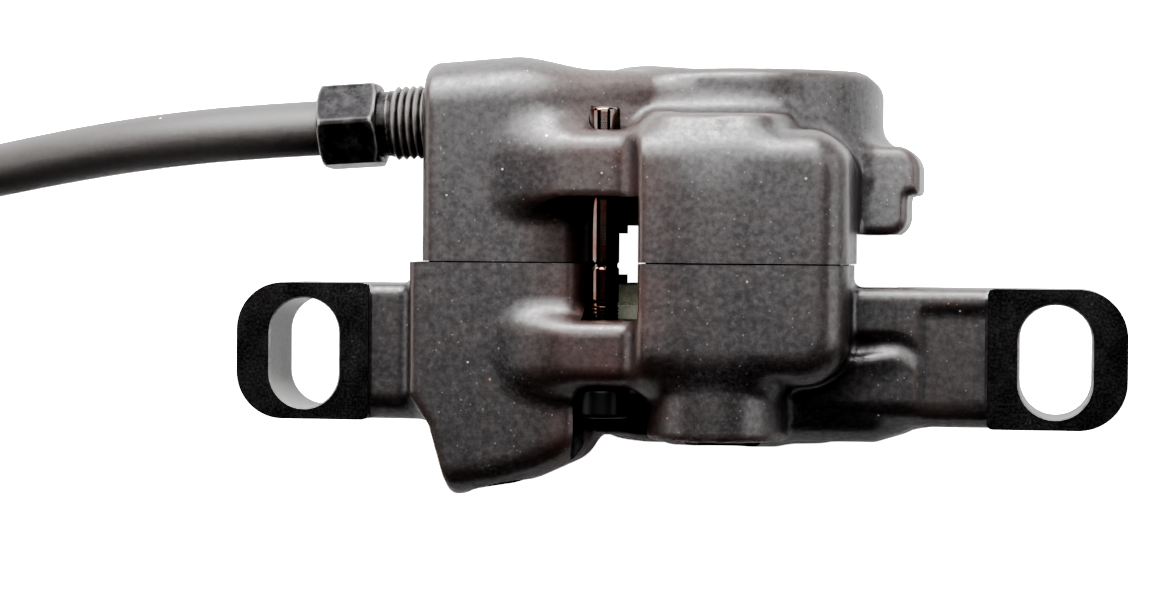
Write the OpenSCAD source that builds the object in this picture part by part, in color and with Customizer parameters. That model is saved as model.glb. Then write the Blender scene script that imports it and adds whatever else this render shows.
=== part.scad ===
// Two-piece hydraulic disc brake caliper for a bicycle post mount, with its hose.
// Origin midway between the two mounting slots, on the face that sits on the posts.
// +X runs along the line of the slots, +Y along the wheel's axle, +Z towards the bolt heads.

/* [Post mount] */
// Distance between the two mounting slots
slot_spacing = 74; // [72:0.5:78]
// Width of each slot
slot_w = 7; // [6.2:0.1:7.6]
// Length of each slot, along the wheel's axle
slot_len = 11; // [9:0.5:12]
// Height of an ear across its slot
ear_h = 13.6; // [12.6:0.2:15]
// Length of the flat bolt-head pad on an ear
ear_pad_len = 13.4; // [12:0.2:15]
// Thickness of an ear at its pad
ear_t = 9.5; // [8.5:0.5:11]
// Height of the pad above the arm behind it
ear_pad_step = 0.6; // [0.3:0.1:1]
// Corner radius of an ear
ear_corner_r = 4.7; // [3:0.1:6]
// Height of the arms' underside above the post face
seat_step = 0.5; // [0.3:0.1:1]

/* [Disc and pads] */
// Distance of the disc's mid plane from the line of slots
disc_y = 10; // [9.8:0.1:10.6]
// Distance of the joint between the castings below the disc's mid plane
split_drop = 0.8; // [0.4:0.1:0.9]
// Width of the slot in the castings that the disc runs in
disc_slot_w = 4.4; // [4.2:0.1:5.2]
// Radius of the disc
disc_r = 80; // [75:1:90]
// Thickness of the disc
disc_t = 1.8; // [1.6:0.1:2.2]
// Height of the disc's edge above the post face
disc_top = 4; // [3:0.1:4.4]
// Free space round the disc's edge
disc_edge_gap = 0.8; // [0.5:0.1:1.2]
// Open gap between the two pads at rest
pad_gap = 6; // [5.4:0.1:6.4]
// Width of a pad along the disc
pad_w = 25; // [24:0.1:25.2]
// Height of a pad
pad_h = 22; // [21:0.1:22.4]
// Thickness of a pad's steel backing plate
plate_t = 1.9; // [1.6:0.1:2.2]
// Thickness of a pad's friction lining
lining_t = 2.1; // [1.8:0.1:2.4]
// Border of bare plate round the lining
lining_border = 0.8; // [0.5:0.1:1.5]

/* [Pistons] */
// Diameter of a piston
piston_d = 22; // [20:0.2:22.4]
// Length of a piston
piston_len = 7.4; // [7:0.1:8]
// Place of the pistons along the slots' line
piston_x = 5.6; // [5:0.1:6.2]
// Height of the piston axis, below the post face
piston_drop = 7; // [6.8:0.1:7.6]
// Space for fluid behind a piston
fluid_space = 1.6; // [1.4:0.1:2]
// Wall of the round chambers
chamber_wall = 2.76; // [2.4:0.02:3.2]
// Thickness of the chambers' end walls
chamber_end = 2.5; // [2:0.1:3]
// Width of a square piston seal
seal_w = 2.1; // [1.8:0.1:2.3]
// Depth of a seal's groove in the bore
seal_depth = 1.2; // [0.9:0.05:1.3]
// Diameter of the magnet in a piston
magnet_d = 10; // [8:0.2:12]
// Thickness of the magnet in a piston
magnet_t = 3; // [2:0.1:4]

/* [Castings] */
// Left face of the upper casting, from the middle
upper_left = 24.8; // [24:0.1:25.6]
// Left face of the lower casting, from the middle
lower_left = 26; // [25.6:0.1:27]
// Front of the left blocks above the post face
left_front = 12; // [11.6:0.1:13]
// Depth of the left blocks behind the post face
left_back = 4; // [3:0.1:6]
// Front of the right bridge above the post face
bridge_front = 16; // [15.8:0.1:16.6]
// Right face of the bridge, from the middle
bridge_right = 17.3; // [16.8:0.1:18]
// Height of the upper bridge above the disc's mid plane
upper_bridge_h = 12.2; // [11.6:0.1:12.8]
// Height of the lower bridge below the disc's mid plane
lower_bridge_h = 12.5; // [12:0.1:13]
// Rounding of the bridge's outer edges
bridge_edge_r = 3; // [2:0.1:3.6]
// Corner radius of the bridge at its far right
bridge_corner_r = 4; // [2:0.1:5]
// Peak of the upper casting's left block above the disc's mid plane
upper_peak_h = 19.5; // [19:0.1:20]
// Reach of the wing below the disc's mid plane
wing_reach = 23.9; // [23.4:0.1:24.6]
// Width of the window between the left block and the bridge
window_w = 5.85; // [5.4:0.05:6.4]
// Left side of the window, from the middle
window_left = 8.65; // [8.5:0.05:8.9]
// Gap between the two tabs that hold the pin
tab_gap = 12; // [11.4:0.1:12.6]
// Height of a tab along the pin
tab_h = 6.6; // [6:0.1:7.2]
// Front of the tabs above the post face
tab_front = 15; // [14.6:0.1:15.3]
// Reach of a tab to the left of the pin
tab_reach = 7.1; // [6:0.1:8]

/* [Body bolts] */
// Thread diameter of the two bolts that join the castings
bolt_d = 5; // [4.6:0.1:5.4]
// Shank length of those bolts
bolt_len = 22.5; // [21:0.5:23.5]
// Head diameter of those bolts
bolt_head_d = 7.8; // [7.2:0.1:8]
// Head height of those bolts
bolt_head_h = 5; // [4.4:0.1:5.2]
// Key width of the socket in each bolt
bolt_key = 4; // [3:0.5:4.5]
// Diameter of the round bosses round the right bolt
boss_d = 13.8; // [13:0.1:14.4]

/* [Pad pin] */
// Diameter of the pin that crosses the window
pin_d = 3; // [2.6:0.1:3.2]
// Free end of the pin above the upper tab
pin_tip = 2.3; // [1.5:0.1:3]
// Head diameter of the pin
pin_head_d = 5.2; // [4.6:0.1:6]
// Head height of the pin
pin_head_h = 3; // [2.4:0.1:3.6]

/* [Bleed valve] */
// Thread diameter of the bleed screw
bleed_d = 4.2; // [3.8:0.1:4.6]
// Key width of the bleed screw's hexagon
bleed_hex = 6; // [5:0.5:7]
// Diameter of the bleed nipple
nipple_d = 3.6; // [3:0.1:4]
// Wall of the rubber cap on the nipple
cap_wall = 0.8; // [0.6:0.1:1.2]

/* [Hose and fittings] */
// Diameter of the hose
hose_d = 5.5; // [5:0.1:5.8]
// Diameter of the bore at the hose's ends
hose_bore_d = 2.4; // [2:0.1:2.8]
// Tilt of the hose port, in degrees
port_tilt = 3.5; // [0:0.5:5]
// Height of the hose port above the disc's mid plane
port_h = 13.15; // [12.8:0.05:13.6]
// Height of the hose port above the post face
port_z = 6; // [5.6:0.1:6.6]
// Key width of the hose nuts
nut_hex = 8; // [7.6:0.1:9]
// Length of a hose nut's hexagon
nut_hex_len = 6; // [5:0.1:7]
// Thread diameter of the hose nuts
nut_thread_d = 7.4; // [7.2:0.1:8]
// Length of a hose nut's thread
nut_thread_len = 10; // [9:0.1:11]
// Length of the thread left showing at the caliper
nut_showing = 4.2; // [3:0.1:5]
// Length of the plain neck between hexagon and thread
nut_neck_len = 0.9; // [0.5:0.1:1.5]
// Radius of the coil at its innermost turn
coil_inner_r = 23.5; // [23:0.5:26]
// Step between turns and between layers of the coil
coil_step = 6.2; // [6:0.1:6.6]

/* [Hidden] */

$fn = 64;
// Overshoot of a cut past the face that it opens
cut = 1;
// Clearances: sliding fit, loose running gap, and a pad in its pocket
slide_fit = 0.05;
loose_fit = 0.1;
pad_fit = 0.35;
// Gap between a pad's back and the floor of its pocket
pad_back_gap = 0.3;

// Pads and pocket
pad_t = plate_t + lining_t;
pad_back = pad_gap / 2 + pad_t;
pocket_depth = pad_back + pad_back_gap;
pad_x0 = -window_left + pad_fit;
pad_top = disc_top;
pad_low_r = 4;
pad_high_r = 2;
pocket_x1 = pad_x0 + pad_w + pad_fit;
pocket_top = disc_top + disc_edge_gap;
pocket_wall = 1.7;
pad_travel = (pad_gap - disc_t) / 2;
disc_z = disc_top - disc_r;
split_y = disc_y - split_drop;
disc_slot_r = disc_r + disc_edge_gap;

// Pistons and chambers
piston_r = piston_d / 2;
bore_r = piston_r + slide_fit;
piston_z = -piston_drop;
chamber_r = bore_r + chamber_wall;
bore_end = pad_back + piston_len + fluid_space;
chamber_top = bore_end + chamber_end;
groove_r = bore_r + seal_depth;
groove_lip = 0.4;
groove_start = pocket_depth + groove_lip;
seal_fit = 0.05;
piston_front_r = 0.3;
piston_back_r = 0.8;
chamber_edge_r = 2.8;

// Base that the caliper lies on
base_gap = 0.2;
base_z = min(piston_z - chamber_r, pad_top - pad_h) - base_gap;
housing_right = piston_x + chamber_r;
pocket_roof = 1.2;
housing_front = pocket_top + pocket_roof;
housing_right_front = 2.5;
housing_depth = pocket_depth + pocket_wall;
abutment_left = 20;
window_right = -window_left + window_w;

// Ears and arms
ear_rise = 0.2;
ear_low = ear_rise - ear_h / 2;
ear_high = ear_rise + ear_h / 2;
ear_pad_shift = 0.2;
ear_reach = slot_spacing / 2 + ear_pad_len / 2 + ear_pad_shift;
arm_front = ear_t - ear_pad_step;
pad_inner_r = 1;
flare_front = 4.5;
flare_len = 5;

// Left blocks: webs tie them to the chambers, and the lower one is drawn out into a wing
web_sink = 0.4;
web_lap = 1;
upper_web_front = 4.5;
lower_web_front = 3;
wing_y = disc_y - wing_reach;
wing_right = 10;
wing_lean = 4;
wing_slope = 3;
wing_shoulder = 7;
block_edge_r = 2;
peak_fall = 1.2;

// Lump at the right end of the upper casting
lump_reach = 4.1;
lump_right = housing_right + lump_reach;
lump_rise = 2;
lump_low = disc_y + lump_rise;
lump_step = 4.2;
lump_h = 9;
lump_back = -10;
lump_front = 0;

// Tabs and pin: the window lies a little above the joint
window_rise = 0.4;
upper_tab_start = window_rise - split_drop + tab_gap / 2;
lower_tab_start = split_drop - window_rise + tab_gap / 2;
pin_side_gap = 0.3;
pin_x = -window_left + pin_side_gap + pin_d / 2;
pin_sink = 5;
pin_z = tab_front - pin_sink;
pin_groove_w = 0.5;
pin_groove_depth = 0.15;
tab_back = 4;
tab_left = pin_x - tab_reach;
tab_edge_r = 2;
tab_corner_r = 2.4;
small_r = 0.6;

// Bolts
bolt_r = bolt_d / 2;
bolt_hole_r = bolt_r + loose_fit;
boss_r = boss_d / 2;
boss_x = 4.3;
boss_sink = 0.2;
boss_z = bridge_front - boss_sink - boss_r;
boss_recess = 0.8;
upper_boss_past = 1.5;
lower_boss_past = 5.5;
upper_boss_h = upper_bridge_h + upper_boss_past;
lower_boss_h = lower_bridge_h + lower_boss_past;
boss_edge_r = 2.2;
left_bolt_out = 17;
left_bolt_sink = 5.4;
left_bolt_z = left_front - left_bolt_sink;
right_seat = disc_y - lower_boss_h + boss_recess + bolt_head_h;
left_seat_drop = 3.4;
left_seat = right_seat - left_seat_drop;
head_fit = 0.25;
head_hole_r = bolt_head_d / 2 + head_fit;
bolt_tip_gap = 0.8;

// Hose port: pieces are drawn along the port's axis, outwards from the casting's left face
port = [-upper_left, disc_y + port_h, port_z];
nut_r = nut_thread_d / 2;
hose_r = hose_d / 2;
thread_depth = 0.45;
nut_inside = nut_thread_len - nut_showing;
nut_hex_start = nut_showing + nut_neck_len;
nut_end = nut_hex_start + nut_hex_len;
nut_bore_r = hose_r + loose_fit;
olive_len = 3;
olive_lip = 0.15;
olive_wall = 0.35;
olive_back = 0.6;
hose_past_olive = 1;
hose_past_nut = olive_len + hose_past_olive;
hose_start = -nut_inside - hose_past_nut;
flange_t = 0.6;
port_floor_gap = 0.2;
port_depth = -hose_start + flange_t + port_floor_gap;
feed_r = 1;
insert_len = 9;
insert_bore_r = 0.7;
insert_fit = 0.02;
flange_inset = 0.2;
end_bore_gap = 0.3;

// Bleed valve on the back of the upper left block, under the inner end of the hose port
bleed_back = 2;
bleed_x = port.x + port_depth - bleed_back;
bleed_y = port.y;
bleed_r = bleed_d / 2;
bleed_len = 5.2;
bleed_tip_gap = 0.8;
bleed_seat_gap = 0.1;
bleed_feed_r = 0.7;
bleed_head_h = 3;
nipple_len = 4;
cap_gap = 0.1;

// Fluid passages
cross_inset = 3.6;
cross_above = 3.2;
cross_x = bridge_right - cross_inset;
cross_z = pocket_top + cross_above;
cross_rise = 10.5;
ring_r = 0.55;
ring_wall = 0.9;
ring_mid_r = feed_r + ring_wall;
ring_fit = 0.02;

// Hose coil on the base surface, and the route of the free stretch, past the view's left edge
tie_t = 0.6;
tie_gap = 0.2;
coil_x = -116;
coil_y = -21;
coil_z = base_z + tie_t + tie_gap + hose_r;
coil_start = 90;
ring_steps = 24;
turns_in = 2;
turns_climb = 0.5;
turns_out = 1.5;
tail_rise = 1.6;
tail_turns = 0.25;
coil_outer_r = coil_inner_r + turns_in * coil_step;
tail_r = coil_inner_r + turns_out * coil_step;
boot_start = 4;
boot_len = 8;
boot_wall = 0.8;
boot_nut_gap = 0.4;
lever_nut_start = boot_start + boot_len + boot_nut_gap;
lever_hose_end = lever_nut_start + nut_hex_len + nut_neck_len + nut_thread_len + hose_past_nut;
function turn_point(r, angle, z) = [coil_x + r * cos(angle), coil_y + r * sin(angle), z];
function heading(angle) = [-sin(angle), cos(angle), 0];
function smooth(t) = let (s = min(max(t, 0), 1)) s * s * (3 - 2 * s);
coil_first = turn_point(coil_outer_r, coil_start, coil_z);
tail_angle = coil_start + 360 * (turns_in + turns_climb + turns_out);
tail_first = turn_point(tail_r, tail_angle, coil_z + coil_step + tail_rise);
port_out = [-cos(port_tilt), -sin(port_tilt), 0];
hose_leave = port + (nut_end + hose_d) * port_out;
hose_meet = coil_first - hose_d * heading(coil_start);
hose_span = norm(hose_meet - hose_leave);
hose_pull = 1.1 * hose_span;
hose_steps = 14;
function hang_point(t) = (1 - smooth(t)) * hose_leave + smooth(t) * hose_meet
    + t * pow(1 - t, 2) * hose_pull * port_out - pow(t, 2) * (1 - t) * hose_pull * heading(coil_start);
hose_route = [
    port + hose_start * port_out,
    port + nut_end * port_out,
    for (i = [0 : hose_steps]) hang_point(i / hose_steps),
    coil_first];

// Coil: in on the lower layer, up while it turns back, out on the upper layer, then a straight tail
function coil_radius(turn) = turn <= turns_in ? coil_outer_r - coil_step * turn
    : turn <= turns_in + turns_climb / 2 ? coil_inner_r - coil_step * (turn - turns_in)
    : coil_inner_r + coil_step * (turn - turns_in - turns_climb);
function coil_height(turn) = coil_z + coil_step * smooth((turn - turns_in) / turns_climb)
    + tail_rise * smooth((turn - turns_in - turns_climb - turns_out + tail_turns) / tail_turns);
function coil_point(turn) = turn_point(coil_radius(turn), coil_start + 360 * turn, coil_height(turn));
coil_steps = ring_steps * (turns_in + turns_climb + turns_out);
lead = 0.5;
coil_path = [
    coil_first,
    coil_first + lead * heading(coil_start),
    for (i = [1 : coil_steps - 1]) coil_point(i / ring_steps),
    tail_first,
    tail_first + lever_hose_end * heading(tail_angle)];

// Least gap between turns of the coil, on its own points at least three quarters of a turn apart
apart_steps = ring_steps * 0.75;
coil_gap = min([for (i = [0 : coil_steps]) for (j = [i + apart_steps : 1 : coil_steps + 2])
    norm(coil_path[i] - coil_path[j])]) - hose_d;
echo(least_gap_between_turns = coil_gap);

// A round tube swept along a path
function unit(v) = v / norm(v);
function tangent(path, i) = unit(path[min(i + 1, len(path) - 1)] - path[max(i - 1, 0)]);
function side_of(t) = unit(cross(t, [0, 0, 1]));
function ring(centre, t, r, sides) = let (side = side_of(t), rise = cross(side, t))
    [for (k = [0 : sides - 1]) centre + r * (cos(360 * k / sides) * side + sin(360 * k / sides) * rise)];
module tube(path, r, sides) {
    last = len(path) - 1;
    points = [for (i = [0 : last]) each ring(path[i], tangent(path, i), r, sides)];
    walls = [for (i = [0 : last - 1]) for (k = [0 : sides - 1])
        let (a = i * sides + k, b = i * sides + (k + 1) % sides)
            each [[a, a + sides, b], [b, a + sides, b + sides]]];
    near_cap = [for (k = [1 : sides - 2]) [0, k, k + 1]];
    far_cap = [for (k = [1 : sides - 2]) [last * sides, last * sides + k + 1, last * sides + k]];
    polyhedron(points, concat(walls, near_cap, far_cap), convexity = 6);
}

// Places and directions
module along_y(y) {
    translate([0, y, 0]) rotate([-90, 0, 0]) children();
}
module at_port() {
    translate(port) rotate([0, 0, 180 + port_tilt]) rotate([0, 90, 0]) children();
}
module at_lever_end() {
    translate(tail_first) rotate([0, 0, tail_angle + 90]) rotate([0, 90, 0]) children();
}
// The upper pieces as drawn, or the same pieces on the lower side of the disc
module lower_side() {
    translate([0, disc_y, 0]) mirror([0, 1, 0]) translate([0, -disc_y, 0]) children();
}

// Box from one corner to the other
module block(low, high) {
    translate(low) cube(high - low);
}
// Rectangle with its corners rounded: left low, right low, right high, left high
module rounded_rectangle(low, high, radii) {
    difference() {
        translate(low) square(high - low);
        for (c = [[0, 0], [1, 0], [1, 1], [0, 1]])
            let (r = radii[c.x == 0 ? (c.y == 0 ? 0 : 3) : (c.y == 0 ? 1 : 2)])
                if (r > 0)
                    corner_waste([c.x == 0 ? low.x : high.x, c.y == 0 ? low.y : high.y],
                        [1 - 2 * c.x, 1 - 2 * c.y], r);
    }
}
// What a rounded corner takes away
module corner_waste(corner, inward, r) {
    difference() {
        translate(corner - [r, r]) square(2 * r);
        translate(corner + r * inward) circle(r);
        translate(corner + r * inward) {
            translate([inward.x > 0 ? 0 : -3 * r, -3 * r]) square([3 * r, 6 * r]);
            translate([-3 * r, inward.y > 0 ? 0 : -3 * r]) square([6 * r, 3 * r]);
        }
    }
}
// Prism along Y of an outline in X and Z
module prism_y(y0, y1) {
    translate([0, y1, 0]) rotate([90, 0, 0]) linear_extrude(y1 - y0) children();
}
// Prism along X of an outline in Y and Z
module prism_x(x0, x1) {
    translate([x0, 0, 0]) rotate([90, 0, 90]) linear_extrude(x1 - x0) children();
}
// Round boss along Y with a rounded far edge
module boss(x, z, r, h, edge_r) {
    translate([x, split_y, z]) rotate([-90, 0, 0]) rotate_extrude()
        rounded_rectangle([0, 0], [r, h + split_drop], [0, 0, edge_r, 0]);
}
module drill(from, to, r) {
    way = to - from;
    turn = atan2(way.y, way.x);
    lean = acos(way.z / norm(way));
    translate(from) rotate([0, lean, turn]) cylinder(r = r, h = norm(way));
}

// Shared shapes of both castings, drawn on the upper side of the disc
module chamber_shell() {
    boss(piston_x, piston_z, chamber_r, chamber_top, chamber_edge_r);
    block([-window_left - 2, split_y, base_z], [bridge_right, disc_y + housing_depth, housing_front]);
    block([piston_x, split_y, base_z], [housing_right, disc_y + housing_depth, housing_right_front]);
    block([-abutment_left, split_y, base_z], [-window_left, disc_y + housing_depth, 0]);
}
module bridge(h) {
    back = -1;
    intersection() {
        prism_y(split_y, disc_y + h)
            rounded_rectangle([window_right, back], [bridge_right, bridge_front],
                [0, 0, bridge_edge_r, small_r]);
        prism_x(window_right, bridge_right)
            rounded_rectangle([split_y, back], [disc_y + h, bridge_front], [0, 0, bridge_edge_r, 0]);
        translate([0, 0, back]) linear_extrude(bridge_front - back)
            rounded_rectangle([window_right, split_y], [bridge_right, disc_y + h],
                [0, 0, bridge_corner_r, 0]);
    }
}
module pin_tab(start) {
    y0 = disc_y + start;
    intersection() {
        translate([0, 0, tab_back]) linear_extrude(tab_front - tab_back)
            rounded_rectangle([tab_left, y0], [window_right + web_lap, y0 + tab_h],
                [tab_corner_r, 0, 0, tab_corner_r]);
        prism_x(tab_left, window_right + web_lap)
            rounded_rectangle([y0, tab_back], [y0 + tab_h, tab_front], [0, 0, tab_edge_r, small_r]);
    }
}
module chamber_cuts(tab_start) {
    // Pocket for the pad and the way out below it
    block([-window_left, disc_y - cut, base_z - cut], [pocket_x1, disc_y + pocket_depth, pocket_top]);
    block([-window_left, disc_y - cut, base_z - cut],
        [window_right, disc_y + tab_start, bridge_front + cut]);
    // Path of the disc
    translate([piston_x, disc_y + disc_slot_w / 2, disc_z]) rotate([90, 0, 0])
        cylinder(r = disc_slot_r, h = disc_slot_w, $fn = 180);
    // Bore of the piston with its seal groove
    translate([piston_x, disc_y, piston_z]) along_y(0) cylinder(r = bore_r, h = bore_end);
    translate([piston_x, disc_y + groove_start, piston_z]) along_y(0) cylinder(r = groove_r, h = seal_w);
    // Hole for the pin
    translate([pin_x, disc_y, pin_z]) along_y(0)
        cylinder(r = pin_d / 2 + loose_fit, h = tab_start + tab_h + cut);
    // Fluid passage between the halves, and from it to the space behind the piston
    translate([cross_x, disc_y - cut, cross_z]) along_y(0) cylinder(r = feed_r, h = cross_rise + cut);
    drill([cross_x, disc_y + cross_rise - feed_r, cross_z],
        [piston_x + piston_r * 0.55, disc_y + bore_end - feed_r, piston_z + piston_r * 0.5], feed_r);
}

module mount_body_half() {
    color([0.13, 0.13, 0.135]) difference() {
        union() {
            lower_side() {
                chamber_shell();
                bridge(lower_bridge_h);
                pin_tab(lower_tab_start);
                boss(boss_x, boss_z, boss_r, lower_boss_h, small_r);
            }
            wing_block();
            arm_fillets();
            for (side = [-1, 1])
                ear(side);
        }
        // Everything beyond the joint, and the open side of the disc's path right of the bridge
        block([-slot_spacing, split_y, base_z - cut],
            [slot_spacing, disc_y + chamber_top, bridge_front + cut]);
        block([pocket_x1 - cut, ear_high, base_z - cut], [housing_right + cut, disc_y, pocket_top]);
        lower_side() chamber_cuts(lower_tab_start);
        for (side = [-1, 1])
            mounting_slot(side);
        bolt_holes();
        translate([cross_x, split_y - 2 * ring_r, cross_z]) along_y(0)
            cylinder(r = ring_mid_r + ring_r + loose_fit, h = 2 * ring_r + cut);
    }
}
// Left block of the lower casting, drawn out into the wing that holds a bolt's head
module wing_block() {
    under_tab = disc_y - lower_tab_start - tab_h;
    chamber_low = disc_y - chamber_top + web_sink;
    web_low = wing_y + wing_slope + small_r;
    intersection() {
        translate([0, 0, -left_back]) linear_extrude(left_back + left_front) polygon([
            [-lower_left, split_y],
            [-lower_left, wing_y + wing_shoulder + wing_slope],
            [-lower_left + wing_lean / 2, wing_y + wing_shoulder],
            [-lower_left + wing_lean, wing_y],
            [-left_bolt_out, wing_y + wing_slope / 4],
            [-wing_right - wing_slope, wing_y + wing_slope * 2 / 3],
            [-wing_right, wing_y + wing_slope],
            [-wing_right, under_tab + web_lap],
            [-window_left, under_tab + web_lap],
            [-window_left, split_y]]);
        prism_y(wing_y - cut, split_y)
            rounded_rectangle([-lower_left, -left_back], [0, left_front], [0, 0, 0, block_edge_r]);
        prism_x(-lower_left - cut, 0)
            rounded_rectangle([wing_y, -left_back], [split_y, left_front],
                [block_edge_r, 0, 0, wing_slope]);
    }
    translate([0, 0, -left_back]) linear_extrude(left_back + lower_web_front) polygon([
        [-wing_right - web_lap, web_low],
        [-window_left, web_low + small_r],
        [window_right, chamber_low],
        [piston_x, chamber_low],
        [piston_x, disc_y - housing_depth + web_lap],
        [-wing_right - web_lap, disc_y - housing_depth + web_lap]]);
}
// Foot of the right arm where it flares into the chamber, and the corner above the left arm
module arm_fillets() {
    foot = disc_y - chamber_top + web_sink;
    corner = split_y - ear_high;
    translate([0, 0, seat_step]) linear_extrude(flare_front - seat_step) polygon([
        [piston_x, ear_low + web_lap],
        [housing_right + flare_len, ear_low + web_lap],
        [housing_right + flare_len, ear_low],
        [housing_right, foot],
        [piston_x, foot]]);
    translate([0, 0, seat_step]) linear_extrude(arm_front - seat_step) polygon([
        [-lower_left - corner, ear_high],
        [-lower_left - corner / 3, ear_high + corner / 3],
        [-lower_left, ear_high + corner],
        [-lower_left + web_lap, ear_high + corner],
        [-lower_left + web_lap, ear_high - web_lap],
        [-lower_left - corner, ear_high - web_lap]]);
}
// Slotted ear with its arm and the raised pad for the bolt's head
module ear(side) {
    mirror([side < 0 ? 1 : 0, 0, 0]) {
        translate([0, 0, seat_step]) linear_extrude(arm_front - seat_step)
            rounded_rectangle([piston_x + boss_r, ear_low], [ear_reach, ear_high],
                [0, ear_corner_r, ear_corner_r, 0]);
        linear_extrude(ear_t) rounded_rectangle([ear_reach - ear_pad_len, ear_low], [ear_reach, ear_high],
            [pad_inner_r, ear_corner_r, ear_corner_r, pad_inner_r]);
    }
}
module mounting_slot(side) {
    half = (slot_len - slot_w) / 2;
    translate([side * slot_spacing / 2, 0, -cut]) linear_extrude(ear_t + 2 * cut) {
        translate([-slot_w / 2, -half]) square([slot_w, 2 * half]);
        for (end = [-1, 1])
            translate([0, end * half]) circle(slot_w / 2);
    }
}
module bolt_holes() {
    for (b = [[boss_x, right_seat, boss_z], [-left_bolt_out, left_seat, left_bolt_z]])
        translate(b) {
            along_y(0) cylinder(r = bolt_hole_r, h = bolt_len + bolt_tip_gap);
            along_y(-wing_reach) cylinder(r = head_hole_r, h = wing_reach);
        }
}

module hose_body_half() {
    color([0.15, 0.15, 0.155]) difference() {
        union() {
            chamber_shell();
            bridge(upper_bridge_h);
            pin_tab(upper_tab_start);
            boss(boss_x, boss_z, boss_r, upper_boss_h, boss_edge_r);
            port_block();
            end_lump();
        }
        chamber_cuts(upper_tab_start);
        bolt_holes();
        at_port() {
            translate([0, 0, -nut_inside]) cylinder(r = nut_r + loose_fit, h = nut_inside + nut_showing);
            translate([0, 0, -port_depth]) cylinder(r = nut_r - thread_depth, h = port_depth);
        }
        drill(port - (port_depth - feed_r) * port_out,
            [piston_x - piston_r * 0.65, disc_y + bore_end - feed_r, piston_z + piston_r * 0.4], feed_r);
        translate([bleed_x, bleed_y, -left_back - cut]) {
            cylinder(r = bleed_r + loose_fit, h = bleed_len + cut);
            cylinder(r = bleed_feed_r, h = left_back + port_z + cut);
        }
    }
}
// Left block of the upper casting with the flat face that takes the hose
module port_block() {
    peak = disc_y + upper_peak_h;
    intersection() {
        translate([0, 0, -left_back]) linear_extrude(left_back + left_front) polygon([
            [-upper_left, split_y],
            [-upper_left, peak - 2 * small_r - peak_fall / 4],
            [-upper_left + 2 * small_r, peak - peak_fall / 2],
            [-left_bolt_out + peak_fall, peak],
            [-window_left, peak - peak_fall],
            [-window_left, split_y]]);
        prism_y(split_y, peak)
            rounded_rectangle([-upper_left, -left_back], [0, left_front], [0, 0, 0, 2 * small_r]);
        prism_x(-upper_left - cut, 0)
            rounded_rectangle([split_y, -left_back], [peak, left_front],
                [0, block_edge_r, block_edge_r, 0]);
    }
    block([-window_left - web_lap, disc_y + housing_depth - web_lap, -left_back],
        [piston_x, disc_y + chamber_top - web_sink, upper_web_front]);
}
// Stepped lump at the right end of the upper casting
module end_lump() {
    translate([0, 0, lump_back]) linear_extrude(lump_front - lump_back) {
        rounded_rectangle([piston_x, lump_low], [lump_right - 2 * small_r, lump_low + lump_h - web_lap],
            [0, block_edge_r, 0, 0]);
        rounded_rectangle([piston_x, lump_low + lump_step], [lump_right, lump_low + lump_h],
            [0, small_r, block_edge_r, 0]);
    }
}

module body_bolts() {
    color([0.2, 0.2, 0.21])
        for (b = [[boss_x, right_seat, boss_z], [-left_bolt_out, left_seat, left_bolt_z]])
            translate(b) difference() {
                union() {
                    along_y(0) cylinder(r = bolt_r, h = bolt_len);
                    along_y(-bolt_head_h) cylinder(d = bolt_head_d, h = bolt_head_h);
                }
                along_y(-bolt_head_h - cut)
                    cylinder(d = bolt_key / cos(30), h = bolt_head_h * 0.55 + cut, $fn = 6);
            }
}
module crossover_seal() {
    color([0.08, 0.08, 0.08]) translate([cross_x, split_y - ring_r, cross_z]) along_y(0)
        rotate_extrude() translate([ring_mid_r, 0]) circle(ring_r - ring_fit);
}

// Pieces beside the disc, drawn on its upper side
module piston() {
    translate([piston_x, disc_y + pad_back, piston_z]) along_y(0) difference() {
        rotate_extrude()
            rounded_rectangle([0, 0], [piston_r, piston_len], [0, piston_front_r, piston_back_r, 0]);
        translate([0, 0, -cut]) cylinder(r = magnet_d / 2 + slide_fit, h = magnet_t + slide_fit + cut);
    }
}
module piston_seal() {
    translate([piston_x, disc_y + groove_start, piston_z]) along_y(seal_fit) difference() {
        cylinder(r = groove_r - seal_fit, h = seal_w - 2 * seal_fit);
        translate([0, 0, -cut]) cylinder(r = piston_r + slide_fit, h = seal_w + 2 * cut);
    }
}
module magnet() {
    translate([piston_x, disc_y + pad_back, piston_z]) along_y(0) cylinder(d = magnet_d, h = magnet_t);
}
module pad_outline(border) {
    rounded_rectangle([pad_x0 + border, pad_top - pad_h + border],
        [pad_x0 + pad_w - border, pad_top - border], [pad_low_r, pad_low_r, pad_high_r, pad_high_r]);
}
module pad_plate() {
    prism_y(disc_y + pad_gap / 2 + lining_t, disc_y + pad_back) pad_outline(0);
}
module pad_lining() {
    prism_y(disc_y + pad_gap / 2, disc_y + pad_gap / 2 + lining_t) pad_outline(lining_border);
}
module upper_piston() {
    color([0.75, 0.74, 0.7]) piston();
}
module lower_piston() {
    color([0.75, 0.74, 0.7]) lower_side() piston();
}
module upper_piston_seal() {
    color([0.1, 0.1, 0.1]) piston_seal();
}
module lower_piston_seal() {
    color([0.1, 0.1, 0.1]) lower_side() piston_seal();
}
module upper_magnet() {
    color([0.7, 0.7, 0.72]) magnet();
}
module lower_magnet() {
    color([0.7, 0.7, 0.72]) lower_side() magnet();
}
module upper_pad_plate() {
    color([0.5, 0.5, 0.46]) pad_plate();
}
module lower_pad_plate() {
    color([0.5, 0.5, 0.46]) lower_side() pad_plate();
}
module upper_pad_lining() {
    color([0.36, 0.35, 0.3]) pad_lining();
}
module lower_pad_lining() {
    color([0.36, 0.35, 0.3]) lower_side() pad_lining();
}

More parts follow.
